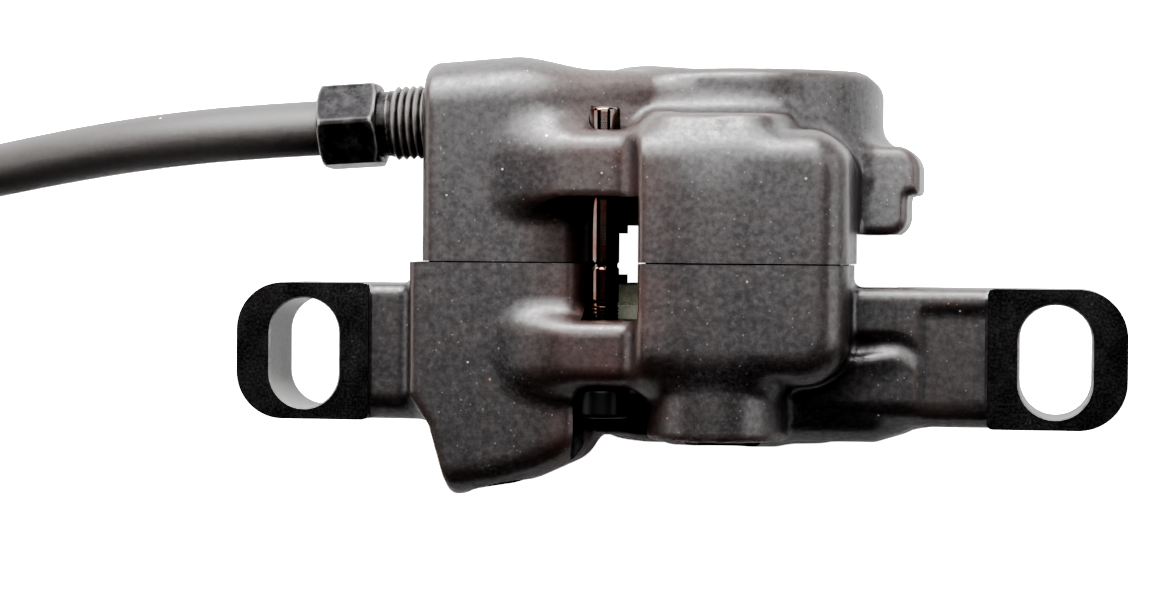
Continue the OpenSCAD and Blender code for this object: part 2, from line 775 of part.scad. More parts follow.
// Headed pin across the window, with its groove
module pad_pin() {
    low = disc_y - lower_tab_start - tab_h;
    high = disc_y + upper_tab_start + tab_h + pin_tip;
    color([0.72, 0.68, 0.64]) translate([pin_x, low, pin_z]) along_y(0) difference() {
        union() {
            cylinder(d = pin_d, h = high - low);
            translate([0, 0, -pin_head_h]) cylinder(d = pin_head_d, h = pin_head_h);
        }
        translate([0, 0, -pin_head_h - cut]) cylinder(d = pin_d * 0.7, h = pin_head_h * 0.6 + cut, $fn = 6);
        translate([0, 0, split_y - low - pin_groove_w]) difference() {
            cylinder(d = pin_d + cut, h = pin_groove_w);
            translate([0, 0, -cut]) cylinder(d = pin_d - 2 * pin_groove_depth, h = pin_groove_w + 2 * cut);
        }
    }
}

// Hollow bleed screw with its hexagon and nipple, and the rubber cap on the nipple
bleed_head_z = -left_back - bleed_seat_gap;
nipple_z = bleed_head_z - bleed_head_h;
module bleed_screw() {
    color([0.62, 0.62, 0.6]) translate([bleed_x, bleed_y, nipple_z]) difference() {
        union() {
            cylinder(r = bleed_r, h = bleed_head_h + bleed_len - bleed_tip_gap);
            cylinder(d = bleed_hex / cos(30), h = bleed_head_h, $fn = 6);
            translate([0, 0, -nipple_len]) cylinder(d = nipple_d, h = nipple_len + cut);
        }
        translate([0, 0, -nipple_len - cut])
            cylinder(r = bleed_feed_r, h = nipple_len + bleed_head_h + bleed_len);
    }
}
module bleed_cap() {
    inner_r = nipple_d / 2 + cap_gap;
    color([0.06, 0.06, 0.06]) translate([bleed_x, bleed_y, nipple_z - cap_gap]) mirror([0, 0, 1])
    difference() {
        cylinder(r = inner_r + cap_wall, h = nipple_len + cap_wall);
        translate([0, 0, -cut]) cylinder(r = inner_r, h = nipple_len + cut);
    }
}

// Hose fittings, drawn along the hose from the tip of the thread
module nut_from_tip() {
    difference() {
        union() {
            cylinder(r = nut_r, h = nut_thread_len);
            cylinder(r = nut_r - thread_depth, h = nut_thread_len + nut_neck_len);
            translate([0, 0, nut_thread_len + nut_neck_len])
                cylinder(d = nut_hex / cos(30), h = nut_hex_len, $fn = 6);
        }
        translate([0, 0, -cut])
            cylinder(r = nut_bore_r, h = nut_thread_len + nut_neck_len + nut_hex_len + 2 * cut);
    }
}
module olive() {
    rotate_extrude() polygon([
        [nut_bore_r, 0],
        [nut_bore_r + olive_lip, 0],
        [nut_bore_r + olive_wall, olive_len / 3],
        [nut_bore_r + olive_wall, olive_len * 2 / 3],
        [nut_bore_r + olive_lip, olive_len],
        [nut_bore_r, olive_len]]);
}
module insert() {
    difference() {
        union() {
            cylinder(r = hose_bore_d / 2 - insert_fit, h = insert_len);
            translate([0, 0, -flange_t]) cylinder(r = hose_r - flange_inset, h = flange_t);
        }
        translate([0, 0, -flange_t - cut]) cylinder(r = insert_bore_r, h = insert_len + flange_t + 2 * cut);
    }
}
module end_bore() {
    translate([0, 0, -cut]) cylinder(d = hose_bore_d, h = insert_len + end_bore_gap + cut);
}
module hose_nut() {
    color([0.1, 0.1, 0.1]) at_port() translate([0, 0, -nut_inside]) nut_from_tip();
}
module hose_olive() {
    color([0.75, 0.6, 0.3]) at_port() translate([0, 0, hose_start + olive_back]) olive();
}
module hose_insert() {
    color([0.7, 0.7, 0.7]) at_port() translate([0, 0, hose_start]) insert();
}
module brake_hose() {
    color([0.2, 0.2, 0.2]) difference() {
        tube(hose_route, hose_r, 10);
        at_port() translate([0, 0, hose_start]) end_bore();
    }
}
module hose_coil() {
    color([0.2, 0.2, 0.2]) difference() {
        tube(coil_path, hose_r, 6);
        at_lever_end() translate([0, 0, lever_hose_end]) mirror([0, 0, 1]) end_bore();
    }
}
// Strap round the bundle, where two turns lie straight above two
module coil_tie() {
    strap_w = 5;
    tie_turn = 0.75;
    slack = 0.35;
    low = [coil_radius(tie_turn + 1) - hose_r - slack, -hose_r - tie_gap];
    high = [coil_radius(tie_turn) + hose_r + slack, coil_step + hose_r + tie_gap];
    wall = [tie_t, tie_t];
    outer_r = [hose_r, hose_r, hose_r, hose_r];
    color([0.05, 0.05, 0.05]) translate([coil_x, coil_y, coil_z])
        rotate([0, 0, coil_start + 360 * tie_turn]) rotate([90, 0, 0])
        translate([0, 0, -strap_w / 2]) linear_extrude(strap_w) difference() {
            rounded_rectangle(low - wall, high + wall, outer_r);
            rounded_rectangle(low, high, outer_r - [tie_t, tie_t, tie_t, tie_t]);
        }
}
module lever_nut() {
    tip = lever_nut_start + nut_hex_len + nut_neck_len + nut_thread_len;
    color([0.1, 0.1, 0.1]) at_lever_end() translate([0, 0, tip]) mirror([0, 0, 1]) nut_from_tip();
}
module lever_olive() {
    color([0.75, 0.6, 0.3]) at_lever_end()
        translate([0, 0, lever_hose_end - olive_back - olive_len]) olive();
}
module lever_insert() {
    color([0.7, 0.7, 0.7]) at_lever_end() translate([0, 0, lever_hose_end]) mirror([0, 0, 1]) insert();
}
module lever_boot() {
    color([0.06, 0.06, 0.06]) at_lever_end() translate([0, 0, boot_start]) difference() {
        rotate_extrude() rounded_rectangle([0, 0], [nut_bore_r + boot_wall, boot_len], [0, 0.6, 0, 0]);
        translate([0, 0, -cut]) cylinder(r = nut_bore_r, h = boot_len + 2 * cut);
    }
}

mount_body_half();
hose_body_half();
body_bolts();
crossover_seal();
upper_piston();
lower_piston();
upper_piston_seal();
lower_piston_seal();
upper_magnet();
lower_magnet();
upper_pad_plate();
lower_pad_plate();
upper_pad_lining();
lower_pad_lining();
pad_pin();
bleed_screw();
bleed_cap();
hose_nut();
hose_olive();
hose_insert();
brake_hose();
hose_coil();
coil_tie();
lever_nut();
lever_olive();
lever_insert();
lever_boot();
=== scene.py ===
import functools
import math

import bmesh
import bpy
import numpy as np
from mathutils import Matrix, Vector


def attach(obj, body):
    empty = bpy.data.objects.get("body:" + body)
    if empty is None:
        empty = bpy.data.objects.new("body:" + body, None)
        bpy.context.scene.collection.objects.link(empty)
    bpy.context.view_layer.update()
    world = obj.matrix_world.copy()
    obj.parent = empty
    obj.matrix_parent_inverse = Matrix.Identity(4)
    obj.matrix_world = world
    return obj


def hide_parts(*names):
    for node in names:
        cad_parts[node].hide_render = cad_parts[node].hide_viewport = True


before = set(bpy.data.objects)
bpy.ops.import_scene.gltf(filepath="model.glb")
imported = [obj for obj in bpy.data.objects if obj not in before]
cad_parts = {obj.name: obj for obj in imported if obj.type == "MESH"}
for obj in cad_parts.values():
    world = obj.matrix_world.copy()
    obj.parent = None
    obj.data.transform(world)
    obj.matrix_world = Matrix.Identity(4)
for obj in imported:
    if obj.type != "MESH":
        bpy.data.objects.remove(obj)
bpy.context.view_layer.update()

scene = bpy.context.scene

# Camera.
# A long lens over the bolt-head side of the caliper, a little to the right of its middle. It looks down and
# 8.5 degrees to the left, and is turned by less than half a degree.
CAMERA_AT, LENS_MM, SENSOR_MM = (0.037, 0.011, 0.320), 99.356, 36
yaw, pitch, roll = math.radians(-8.4923), math.radians(-0.9996), math.radians(0.4475)
look = Vector((math.sin(yaw) * math.cos(pitch), math.sin(pitch), -math.cos(yaw) * math.cos(pitch)))
level = look.cross(Vector((0, 1, 0))).normalized()
plumb = level.cross(look)
frame_right = math.cos(roll) * level + math.sin(roll) * plumb
frame_up = math.cos(roll) * plumb - math.sin(roll) * level
camera = bpy.data.objects.new("camera", bpy.data.cameras.new("camera"))
scene.collection.objects.link(camera)
camera.data.sensor_width, camera.data.lens = SENSOR_MM, LENS_MM
camera.data.clip_start, camera.data.clip_end = 0.01, 10
camera.matrix_world = (Matrix.Translation(CAMERA_AT)
                       @ Matrix((frame_right, frame_up, -look)).transposed().to_4x4())
scene.camera = camera

# Brake hose.
# A plastic-jacketed pressure hose of 5.5 mm, clamped in its nut at the left face of the upper casting. It
# sinks to the floor in one easy curve, and the rest of it is wound into a flat coil of two layers.
MM = 0.001
HOSE_D, HOSE_SIDES, NUT_END, HOSE_INSIDE = 5.5, 28, 11.1, -9.8
PORT, PORT_TURN = np.array([-24.8, 23.15, 6.0]), math.radians(3.5)
PORT_OUT = np.array([-math.cos(PORT_TURN), -math.sin(PORT_TURN), 0.0])
LEAD_POINTS, LEAD_SWING = 15, 1.1
COIL_AT, COIL_Z, COIL_START = np.array([-116.0, -21.0]), -17.46, 90.0
COIL_IN, COIL_STEP, TURNS_IN, TURNS_CLIMB, TURNS_OUT = 23.5, 6.2, 2.0, 0.5, 1.5
COIL_TURNS = TURNS_IN + TURNS_CLIMB + TURNS_OUT
COIL_OUT, TAIL_R = COIL_IN + TURNS_IN * COIL_STEP, COIL_IN + TURNS_OUT * COIL_STEP
TAIL_RISE, TAIL_TURNS, TAIL_LEN, RING_STEPS = 1.6, 0.25, 33.3, 24


def ease(t):
    """From 0 to 1 with a soft start and a soft end."""
    t = np.clip(t, 0, 1)
    return t * t * (3 - 2 * t)


def turn_point(radius, angle, height):
    angle = math.radians(angle)
    return np.array([COIL_AT[0] + radius * math.cos(angle), COIL_AT[1] + radius * math.sin(angle), height])


def heading(angle):
    return np.array([-math.sin(math.radians(angle)), math.cos(math.radians(angle)), 0.0])


def coil_point(turn):
    """A place on the coil's middle line: inwards on the floor, up by one layer and outwards again."""
    if turn <= TURNS_IN:
        radius = COIL_OUT - COIL_STEP * turn
    elif turn <= TURNS_IN + TURNS_CLIMB / 2:
        radius = COIL_IN - COIL_STEP * (turn - TURNS_IN)
    else:
        radius = COIL_IN + COIL_STEP * (turn - TURNS_IN - TURNS_CLIMB)
    height = (COIL_Z + COIL_STEP * ease((turn - TURNS_IN) / TURNS_CLIMB)
              + TAIL_RISE * ease((turn - COIL_TURNS + TAIL_TURNS) / TAIL_TURNS))
    return turn_point(radius, COIL_START + 360 * turn, height)


coil_way, coil_first = heading(COIL_START), turn_point(COIL_OUT, COIL_START, COIL_Z)
hose_leave = PORT + (NUT_END + HOSE_D) * PORT_OUT
hose_meet = coil_first - HOSE_D * coil_way
lead_swing = LEAD_SWING * np.linalg.norm(hose_meet - hose_leave)
tail_angle = COIL_START + 360 * COIL_TURNS
tail_way, tail_first = heading(tail_angle), turn_point(TAIL_R, tail_angle, COIL_Z + COIL_STEP + TAIL_RISE)
hose_points = [PORT + HOSE_INSIDE * PORT_OUT, PORT, PORT + NUT_END * PORT_OUT]
for t in np.linspace(0, 1, LEAD_POINTS):
    hose_points.append((1 - ease(t)) * hose_leave + ease(t) * hose_meet
                       + lead_swing * (t * (1 - t) ** 2 * PORT_OUT - t * t * (1 - t) * coil_way))
hose_points.append(coil_first)
hose_points += [coil_point(i / RING_STEPS) for i in range(1, int(RING_STEPS * COIL_TURNS))]
hose_points += [tail_first + s * TAIL_LEN * tail_way for s in (0, 0.34, 0.67, 1)]
hose_points = np.array(hose_points)


def through(points, steps):
    """A finer line through the points, with no corner at any of them."""
    fine = []
    padded = np.vstack([2 * points[0] - points[1], points, 2 * points[-1] - points[-2]])
    for a, b, c, d in zip(padded, padded[1:], padded[2:], padded[3:]):
        span = np.linalg.norm(c - b)
        near, far = span / np.linalg.norm(c - a), span / np.linalg.norm(d - b)
        for s in np.arange(steps) / steps:
            fine.append((2 * s ** 3 - 3 * s ** 2 + 1) * b + (s ** 3 - 2 * s ** 2 + s) * near * (c - a)
                        + (3 * s ** 2 - 2 * s ** 3) * c + (s ** 3 - s ** 2) * far * (d - b))
    return np.array(fine + [points[-1]])


def ring_faces(rings, sides, closed=False):
    """Four-sided faces between rings of corners, each ring joined to the next."""
    return [(i * sides + k, i * sides + (k + 1) % sides,
             (i + 1) % rings * sides + (k + 1) % sides, (i + 1) % rings * sides + k)
            for i in range(rings if closed else rings - 1) for k in range(sides)]


def lofted(outlines):
    """Corners and faces of a solid through outlines with equal numbers of points, closed at both ends."""
    count = len(outlines[0])
    corners = np.concatenate([np.array(o, float) for o in outlines])
    ends = [tuple(range(count - 1, -1, -1)), tuple(range(len(corners) - count, len(corners)))]
    return corners, ends + ring_faces(len(outlines), count)


def swept_tube(path, radius, sides):
    """Corners and faces of a closed tube round a path."""
    tangents = np.gradient(path, axis=0)
    tangents /= np.linalg.norm(tangents, axis=1)[:, None]
    side = np.cross(tangents, [0, 0, 1.0])
    side /= np.linalg.norm(side, axis=1)[:, None]
    rise = np.cross(side, tangents)
    angles = np.arange(sides) * 2 * math.pi / sides
    return lofted(path[:, None] + radius * (np.cos(angles)[None, :, None] * side[:, None]
                                            + np.sin(angles)[None, :, None] * rise[:, None]))


def raw(name, corners, edges=(), faces=()):
    """A piece in the scene from corners in millimetres, with nothing done to it yet."""
    mesh = bpy.data.meshes.new(name)
    points = (np.asarray(corners, float) * MM).tolist()
    mesh.from_pydata(points, list(edges), [tuple(map(int, face)) for face in faces])
    piece = bpy.data.objects.new(name, mesh)
    scene.collection.objects.link(piece)
    return piece


def solid(name, corners, faces, *materials, sharp=35):
    """A closed piece that faces outwards, smooth but for edges over the sharp angle."""
    piece = raw(name, corners, faces=faces)
    mesh = piece.data
    shell = bmesh.new()
    shell.from_mesh(mesh)
    bmesh.ops.recalc_face_normals(shell, faces=shell.faces)
    shell.to_mesh(mesh)
    shell.free()
    mesh.shade_smooth()
    mesh.set_sharp_from_angle(angle=math.radians(sharp))
    for material in materials:
        mesh.materials.append(material)
    return piece


def fill(tree, node, inputs):
    """Links a node's inputs to sockets, or gives them values."""
    for name, value in inputs.items():
        if isinstance(value, bpy.types.NodeSocket):
            tree.links.new(value, node.inputs[name])
        else:
            paint = node.inputs[name].type == "RGBA"
            node.inputs[name].default_value = (*value, 1) if paint else value


def step_node(tree, kind, inputs, **settings):
    """The outputs of a new node with these settings and inputs."""
    node = tree.nodes.new(kind)
    for name, value in settings.items():
        setattr(node, name, value)
    fill(tree, node, inputs)
    return node.outputs


def math_node(tree, operation, *values):
    return step_node(tree, "ShaderNodeMath", dict(enumerate(values)), operation=operation)[0]


def sum_of(tree, *parts, plus=0.0):
    """Masks times their shares, added to a fixed amount."""
    total = plus
    for mask, share in parts:
        total = math_node(tree, "ADD", math_node(tree, "MULTIPLY", mask, share), total)
    return total


def blend_colour(tree, mask, a, b, share=1.0):
    """Colour a, turning into b by a mask times a share."""
    mask = mask if share == 1.0 else math_node(tree, "MULTIPLY", mask, share)
    return step_node(tree, "ShaderNodeMix", {0: mask, 6: a, 7: b}, data_type="RGBA")[2]


def shader_group(name, inputs, outputs):
    """An empty shader node group over a place, with named values going in and named masks coming out."""
    group = bpy.data.node_groups.new(name, "ShaderNodeTree")
    group.interface.new_socket("Vector", in_out="INPUT", socket_type="NodeSocketVector")
    for title, value in inputs.items():
        socket = group.interface.new_socket(title, in_out="INPUT", socket_type="NodeSocketFloat")
        socket.default_value = value
    for title in outputs:
        group.interface.new_socket(title, in_out="OUTPUT", socket_type="NodeSocketFloat")
    return group, group.nodes.new("NodeGroupInput").outputs, group.nodes.new("NodeGroupOutput")


def laid(tree, group, place, **values):
    """The masks of a shared effect, laid over a piece's own places with values of its own."""
    return step_node(tree, "ShaderNodeGroup", {"Vector": place, **values}, node_tree=group)


# Fine even grain, as on jackets, castings and plated metal: a mask from 0 to 1.
grain_group, grain_in, grain_out = shader_group(
    "fine_grain", {"Scale": 2000.0, "Low": 0.35, "High": 0.65}, ["Mask"])
grain_noise = step_node(grain_group, "ShaderNodeTexNoise", {
    "Vector": grain_in["Vector"], "Scale": grain_in["Scale"], "Detail": 3, "Roughness": 0.6})["Fac"]
grain_mask = step_node(grain_group, "ShaderNodeMapRange", {
    "Value": grain_noise, "From Min": grain_in["Low"], "From Max": grain_in["High"]})["Result"]
fill(grain_group, grain_out, {"Mask": grain_mask})

# Scattered specks of dust and lint: a mask, and a second value that picks each speck's tint.
dust_group, dust_in, dust_out = shader_group(
    "dust_specks", {"Scale": 700.0, "Share": 0.06, "Size": 0.1}, ["Mask", "Tint"])
dust_cells = step_node(dust_group, "ShaderNodeTexVoronoi", {
    "Vector": dust_in["Vector"], "Scale": dust_in["Scale"]})
dust_pick = step_node(dust_group, "ShaderNodeSeparateColor", {"Color": dust_cells["Color"]})
dust_near = math_node(dust_group, "LESS_THAN", dust_cells["Distance"], dust_in["Size"])
dust_some = math_node(dust_group, "LESS_THAN", dust_pick["Red"], dust_in["Share"])
fill(dust_group, dust_out, {"Mask": math_node(dust_group, "MULTIPLY", dust_near, dust_some),
                            "Tint": dust_pick["Green"]})


def finish_material(name, colour, roughness, metallic=0.0):
    """A named finish with its tree and shader, and the place to hang its detail on."""
    material = bpy.data.materials.new(name)
    material.use_nodes = True
    tree = material.node_tree
    shader = tree.nodes["Principled BSDF"]
    fill(tree, shader, {"Base Color": colour, "Roughness": roughness, "Metallic": metallic})
    return material, tree, shader, step_node(tree, "ShaderNodeTexCoord", {})["Object"]


def outer_edge(tree):
    """How strongly a place stands on an outer edge, as edge_marks and the threads store it."""
    return step_node(tree, "ShaderNodeAttribute", {}, attribute_name="outer_edge")["Fac"]


def bumped(tree, shader, height, strength, depth):
    """Gives a finish ups and downs from a height of 0 to 1; the depth is in millimetres."""
    bump = step_node(tree, "ShaderNodeBump",
                     {"Height": height, "Strength": strength, "Distance": depth * MM})
    fill(tree, shader, {"Normal": bump["Normal"]})


def grained(name, dark, light, rough_low, rough_high, metallic=0.0, scale=2500.0, dent=0.02, specular=0.5,
            dust=0.0, dust_colour=(0.5, 0.47, 0.43), edge_wear_and_glint=0.0, scuff=0.0):
    """A finish that follows a fine grain in colour, gloss and height, with dust and scuffs if asked, and with
    pale outer edges if asked, from rubbing and as a painted edge highlight.
    """
    bare_metal_and_glint = (0.5, 0.48, 0.46)
    material, tree, shader, place = finish_material(name, dark, rough_low, metallic)
    grain = laid(tree, grain_group, place, Scale=scale)["Mask"]
    cloud = laid(tree, grain_group, place, Scale=scale / 14)["Mask"]
    mixed = sum_of(tree, (grain, 0.6), (cloud, 0.4))
    colour = blend_colour(tree, mixed, dark, light)
    # Outer edges turn pale metal: rubbing, and a painted highlight along the edges.
    if edge_wear_and_glint:
        sharpest = math_node(tree, "POWER", outer_edge(tree), 2.2)
        edge_patchiness = sum_of(tree, (cloud, 0.8), plus=0.3)
        worn_and_glint = math_node(tree, "MULTIPLY", math_node(tree, "MULTIPLY", sharpest, edge_patchiness), edge_wear_and_glint)
        colour = blend_colour(tree, worn_and_glint, colour, bare_metal_and_glint)
        fill(tree, shader, {"Metallic": worn_and_glint})
    if scuff:
        patches = laid(tree, grain_group, place, Scale=scale / 4, Low=0.4, High=0.75)["Mask"]
        colour = blend_colour(tree, patches, colour, bare_metal_and_glint, scuff)
    if dust:
        specks = laid(tree, dust_group, place, Share=dust)["Mask"]
        colour = blend_colour(tree, specks, colour, dust_colour)
    rough = sum_of(tree, (mixed, rough_high - rough_low), plus=rough_low)
    fill(tree, shader, {"Base Color": colour, "Roughness": rough, "Specular IOR Level": specular})
    bumped(tree, shader, grain, 0.6, dent)
    return material


hose_jacket = grained("hose_jacket", (0.027, 0.0245, 0.0235), (0.047, 0.042, 0.0405), 0.52, 0.62,
                      scale=1800.0, dent=0.015, specular=1.0, dust=0.03)
hose_line = through(hose_points, 3)
hose = solid("hose", *swept_tube(hose_line, HOSE_D / 2, HOSE_SIDES), hose_jacket, sharp=60)
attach(hose, "caliper_body")
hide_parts("brake_hose", "hose_coil")

# Hose nuts.
# A black-plated steel nut on each end of the hose, turned from hexagon bar, with a plain neck and a thread
# that presses the olive onto the hose. The one at the caliper is screwed in only part of the way.
NUT_TIP, NUT_LEN, NUT_BORE_R, NUT_HEX_HALF, NUT_HEX_LOW = -5.8, 16.9, 2.85, 4.0, 10.9
NUT_THREAD_R, NUT_PITCH, NUT_CORE_R, NUT_CORE_END = 3.7, 0.75, 3.32, 10.0
NUT_NECK_R, NUT_NECK_LOW, NUT_NECK_HIGH = 3.25, 9.7, 11.3
LEVER_NUT_TIP, NUT_TWIST = 29.3, math.radians(5.0)


def shared(*forms):
    """What forms have in common, with plain edges."""
    return functools.reduce(np.maximum, forms)


def either(*forms):
    """Forms as one, with plain corners where they meet."""
    return functools.reduce(np.minimum, forms)


def round_edge(a, b, r):
    """What two forms share, with an outer edge of radius r where they meet."""
    return np.minimum(np.maximum(a, b), -r) + np.hypot(np.maximum(r + a, 0), np.maximum(r + b, 0))


def hexagon(x, y, half):
    """Distance outside a hexagon bar of that half width, with its corners just rounded."""
    sides = [np.abs(x * math.cos(a) + y * math.sin(a)) - half for a in (0.0, math.pi / 3, 2 * math.pi / 3)]
    return round_edge(round_edge(sides[0], sides[1], 0.3), sides[2], 0.3)


def hex_head(x, y, z, half, low, high):
    """Distance outside a hexagon head between two heights, with both ends turned to a chamfer."""
    past = (np.hypot(x, y) - 0.98 * half) * 0.5
    chamfer = shared(past + (z - high) * 0.866, past + (low - z) * 0.866)
    head = round_edge(hexagon(x, y, half), chamfer, 0.15)
    return round_edge(head, np.abs(z - (low + high) / 2) - (high - low) / 2, 0.12)


def nut_form(x, y, z):
    r = np.hypot(x, y)
    core = shared(round_edge(r - NUT_CORE_R, -z, 0.3), z - NUT_CORE_END)
    neck = shared(r - NUT_NECK_R, NUT_NECK_LOW - z, z - NUT_NECK_HIGH)
    nut = either(core, neck, hex_head(x, y, z, NUT_HEX_HALF, NUT_HEX_LOW, NUT_LEN))
    return round_edge(nut, NUT_BORE_R - r, 0.15)


def skin_of(form, low, high, step):
    """Corners and four-sided faces of a form's surface, found on a grid and then drawn onto the form."""
    axes = [np.arange(a, b + step, step) for a, b in zip(low, high)]
    field = form(*np.meshgrid(*axes, indexing="ij"))
    inside = field < 0
    shape = [n - 1 for n in field.shape]

    def corner(values, i, j, k):
        return values[i:i + shape[0], j:j + shape[1], k:k + shape[2]]

    count = sum(corner(inside, *cell).astype(np.int8) for cell in np.ndindex(2, 2, 2))
    mixed = (count > 0) & (count < 8)
    number = np.full(shape, -1, np.int64)
    number[mixed] = np.arange(mixed.sum())
    total, hits = np.zeros((mixed.sum(), 3)), np.zeros(mixed.sum())
    for axis, first, second in np.ndindex(3, 2, 2):
        near = [0, 0, 0]
        near[(axis + 1) % 3], near[(axis + 2) % 3] = first, second
        far = list(near)
        far[axis] = 1
        a, b = corner(field, *near)[mixed], corner(field, *far)[mixed]
        crossed = (a < 0) != (b < 0)
        spot = np.tile(np.array(near, float), (len(a), 1))
        spot[:, axis] = np.where(crossed, a / np.where(crossed, a - b, 1), 0)
        total += spot * crossed[:, None]
        hits += crossed
    base = np.stack(np.nonzero(mixed), axis=1)
    corners = np.array(low) + step * (base + total / hits[:, None])
    faces = []
    for axis in range(3):
        u, v = (axis + 1) % 3, (axis + 2) % 3
        here = [slice(0, n) for n in shape]
        there = list(here)
        there[axis] = slice(1, shape[axis] + 1)
        a, b = inside[tuple(here)], inside[tuple(there)]
        edge = np.stack(np.nonzero(a != b), axis=1)
        edge = edge[(edge[:, u] > 0) & (edge[:, v] > 0)]
        ring = []
        for du, dv in ((0, 0), (1, 0), (1, 1), (0, 1)):
            cell = edge.copy()
            cell[:, u] -= du
            cell[:, v] -= dv
            ring.append(number[tuple(cell.T)])
        ring = np.stack(ring, axis=1)
        outward = a[tuple(edge.T)]
        faces.append(np.where(outward[:, None], ring, ring[:, ::-1]))
    for _ in range(3):
        value = form(*corners.T)
        sides = [(corners + d, corners - d) for d in 0.05 * np.eye(3)]
        slope = np.stack([form(*ahead.T) - form(*behind.T) for ahead, behind in sides], axis=1) / 0.1
        push = value / np.maximum((slope ** 2).sum(1), 0.25)
        corners = corners - np.clip(push, -step / 3, step / 3)[:, None] * slope
    return corners, np.concatenate(faces)


def turned(profile, sides, loop=False):
    """Corners and faces of a solid turned on Z from (radius, height) points; loop closes a ring."""
    corners, rings = [], []
    angles = [2 * math.pi * k / sides for k in range(sides)]
    for radius, height in profile:
        if radius < 1e-6:
            rings.append([len(corners)] * sides)
            corners.append((0, 0, height))
        else:
            rings.append([len(corners) + k for k in range(sides)])
            corners += [(radius * math.cos(a), radius * math.sin(a), height) for a in angles]
    faces = []
    for a, b in list(zip(rings, rings[1:])) + ([(rings[-1], rings[0])] if loop else []):
        for k in range(sides):
            n = (k + 1) % sides
            ring = list(dict.fromkeys((a[k], a[n], b[n], b[k])))
            if len(ring) > 2:
                faces.append(ring)
    return np.array(corners), faces


def stood(corners, at, way, twist=0.0):
    """Corners drawn round Z, set at a place and along a direction."""
    way = np.array(way, float) / np.linalg.norm(way)
    side = np.cross([0, 0, 1.0] if abs(way[2]) < 0.9 else [0, 1.0, 0], way)
    side /= np.linalg.norm(side)
    rise = np.cross(way, side)
    c, s = math.cos(twist), math.sin(twist)
    turn = np.stack([c * side + s * rise, c * rise - s * side, way])
    return corners @ turn + np.array(at)


def points_of(piece):
    """A piece's corners in millimetres."""
    points = np.empty(len(piece.data.vertices) * 3)
    piece.data.vertices.foreach_get("co", points)
    return points.reshape(-1, 3) / MM


def edge_marks(piece, form, reach):
    """Stores how strongly each corner of a piece stands on an outer edge of its form, for edges pale from
    rubbing and their painted highlight.
    """
    points = points_of(piece)
    around = sum(form(*(points + d).T) + form(*(points - d).T) for d in reach * np.eye(3)) / 6
    bend = around - form(*points.T)
    layer = piece.data.attributes.new("outer_edge", "FLOAT", "POINT")
    layer.data.foreach_set("value", np.clip(bend / reach * 4, 0, 1).astype(np.float32))


def stand_up(piece, at, way, twist=0.0):
    """Moves a piece that was drawn round Z to its place, with the place kept in its mesh."""
    points = stood(points_of(piece), at, way, twist) * MM
    piece.data.vertices.foreach_set("co", points.astype(np.float32).ravel())
    piece.data.update()


def node_tree(name, *inputs):
    """An empty Geometry Nodes tree with a piece going in and out, and further named inputs (name, kind)."""
    tree = bpy.data.node_groups.new(name, "GeometryNodeTree")
    for way in ("INPUT", "OUTPUT"):
        tree.interface.new_socket("Geometry", in_out=way, socket_type="NodeSocketGeometry")
    for title, kind in inputs:
        tree.interface.new_socket(title, in_out="INPUT", socket_type="NodeSocket" + kind)
    return tree, tree.nodes.new("NodeGroupInput").outputs, tree.nodes.new("NodeGroupOutput")


def end_tree(tree, parts, material, out):
    """Closes a tree: its parts joined, instances made real, one material on all of it."""
    joined = tree.nodes.new("GeometryNodeJoinGeometry")
    for part in parts:
        tree.links.new(part, joined.inputs[0])
    real = step_node(tree, "GeometryNodeRealizeInstances", {"Geometry": joined.outputs[0]})["Geometry"]
    painted_all = step_node(tree, "GeometryNodeSetMaterial", {"Geometry": real, "Material": material})
    fill(tree, out, {"Geometry": painted_all["Geometry"]})


def applied(piece):
    """Makes what a piece's modifiers show its plain mesh."""
    mesh = bpy.data.meshes.new_from_object(piece.evaluated_get(bpy.context.evaluated_depsgraph_get()))
    old = piece.data
    piece.modifiers.clear()
    piece.data = mesh
    bpy.data.meshes.remove(old)
    mesh.name = piece.name


def discard(*pieces):
    """Removes helper pieces and their meshes."""
    for piece in pieces:
        mesh = piece.data
        bpy.data.objects.remove(piece)
        bpy.data.meshes.remove(mesh)


def grown(piece, tree, **values):
    """Runs a Geometry Nodes tree on a piece and keeps the result as the piece's plain mesh."""
    change = piece.modifiers.new(tree.name, "NODES")
    change.node_group = tree
    for item in tree.interface.items_tree:
        name = item.name.replace(" ", "_")
        if item.item_type == "SOCKET" and item.in_out == "INPUT" and name in values:
            change[item.identifier] = values[name]
    applied(piece)
    piece.data.shade_smooth()
    piece.data.set_sharp_from_angle(angle=math.radians(35))


# A thread: a ridge wound round Z, joined to the shank that goes in.
thread_tree, thread_in, thread_out = node_tree(
    "thread_ridge", ("Crest Radius", "Float"), ("Pitch", "Float"), ("Turns", "Float"), ("Start", "Float"),
    ("Material", "Material"))
half_pitch = math_node(thread_tree, "MULTIPLY", thread_in["Pitch"], 0.5)
root = math_node(thread_tree, "SUBTRACT", thread_in["Crest Radius"], half_pitch)
spiral = step_node(thread_tree, "GeometryNodeCurveSpiral", {
    "Resolution": 40, "Rotations": thread_in["Turns"], "Start Radius": root, "End Radius": root,
    "Height": math_node(thread_tree, "MULTIPLY", thread_in["Pitch"], thread_in["Turns"])})["Curve"]
spiral = step_node(thread_tree, "GeometryNodeSetCurveNormal", {"Curve": spiral}, mode="Z_UP")["Curve"]
lift = step_node(thread_tree, "ShaderNodeCombineXYZ", {"Z": thread_in["Start"]})["Vector"]
spiral = step_node(thread_tree, "GeometryNodeTransform",
                   {"Geometry": spiral, "Translation": lift})["Geometry"]
diamond = step_node(thread_tree, "GeometryNodeCurvePrimitiveCircle",
                    {"Resolution": 4, "Radius": half_pitch})["Curve"]
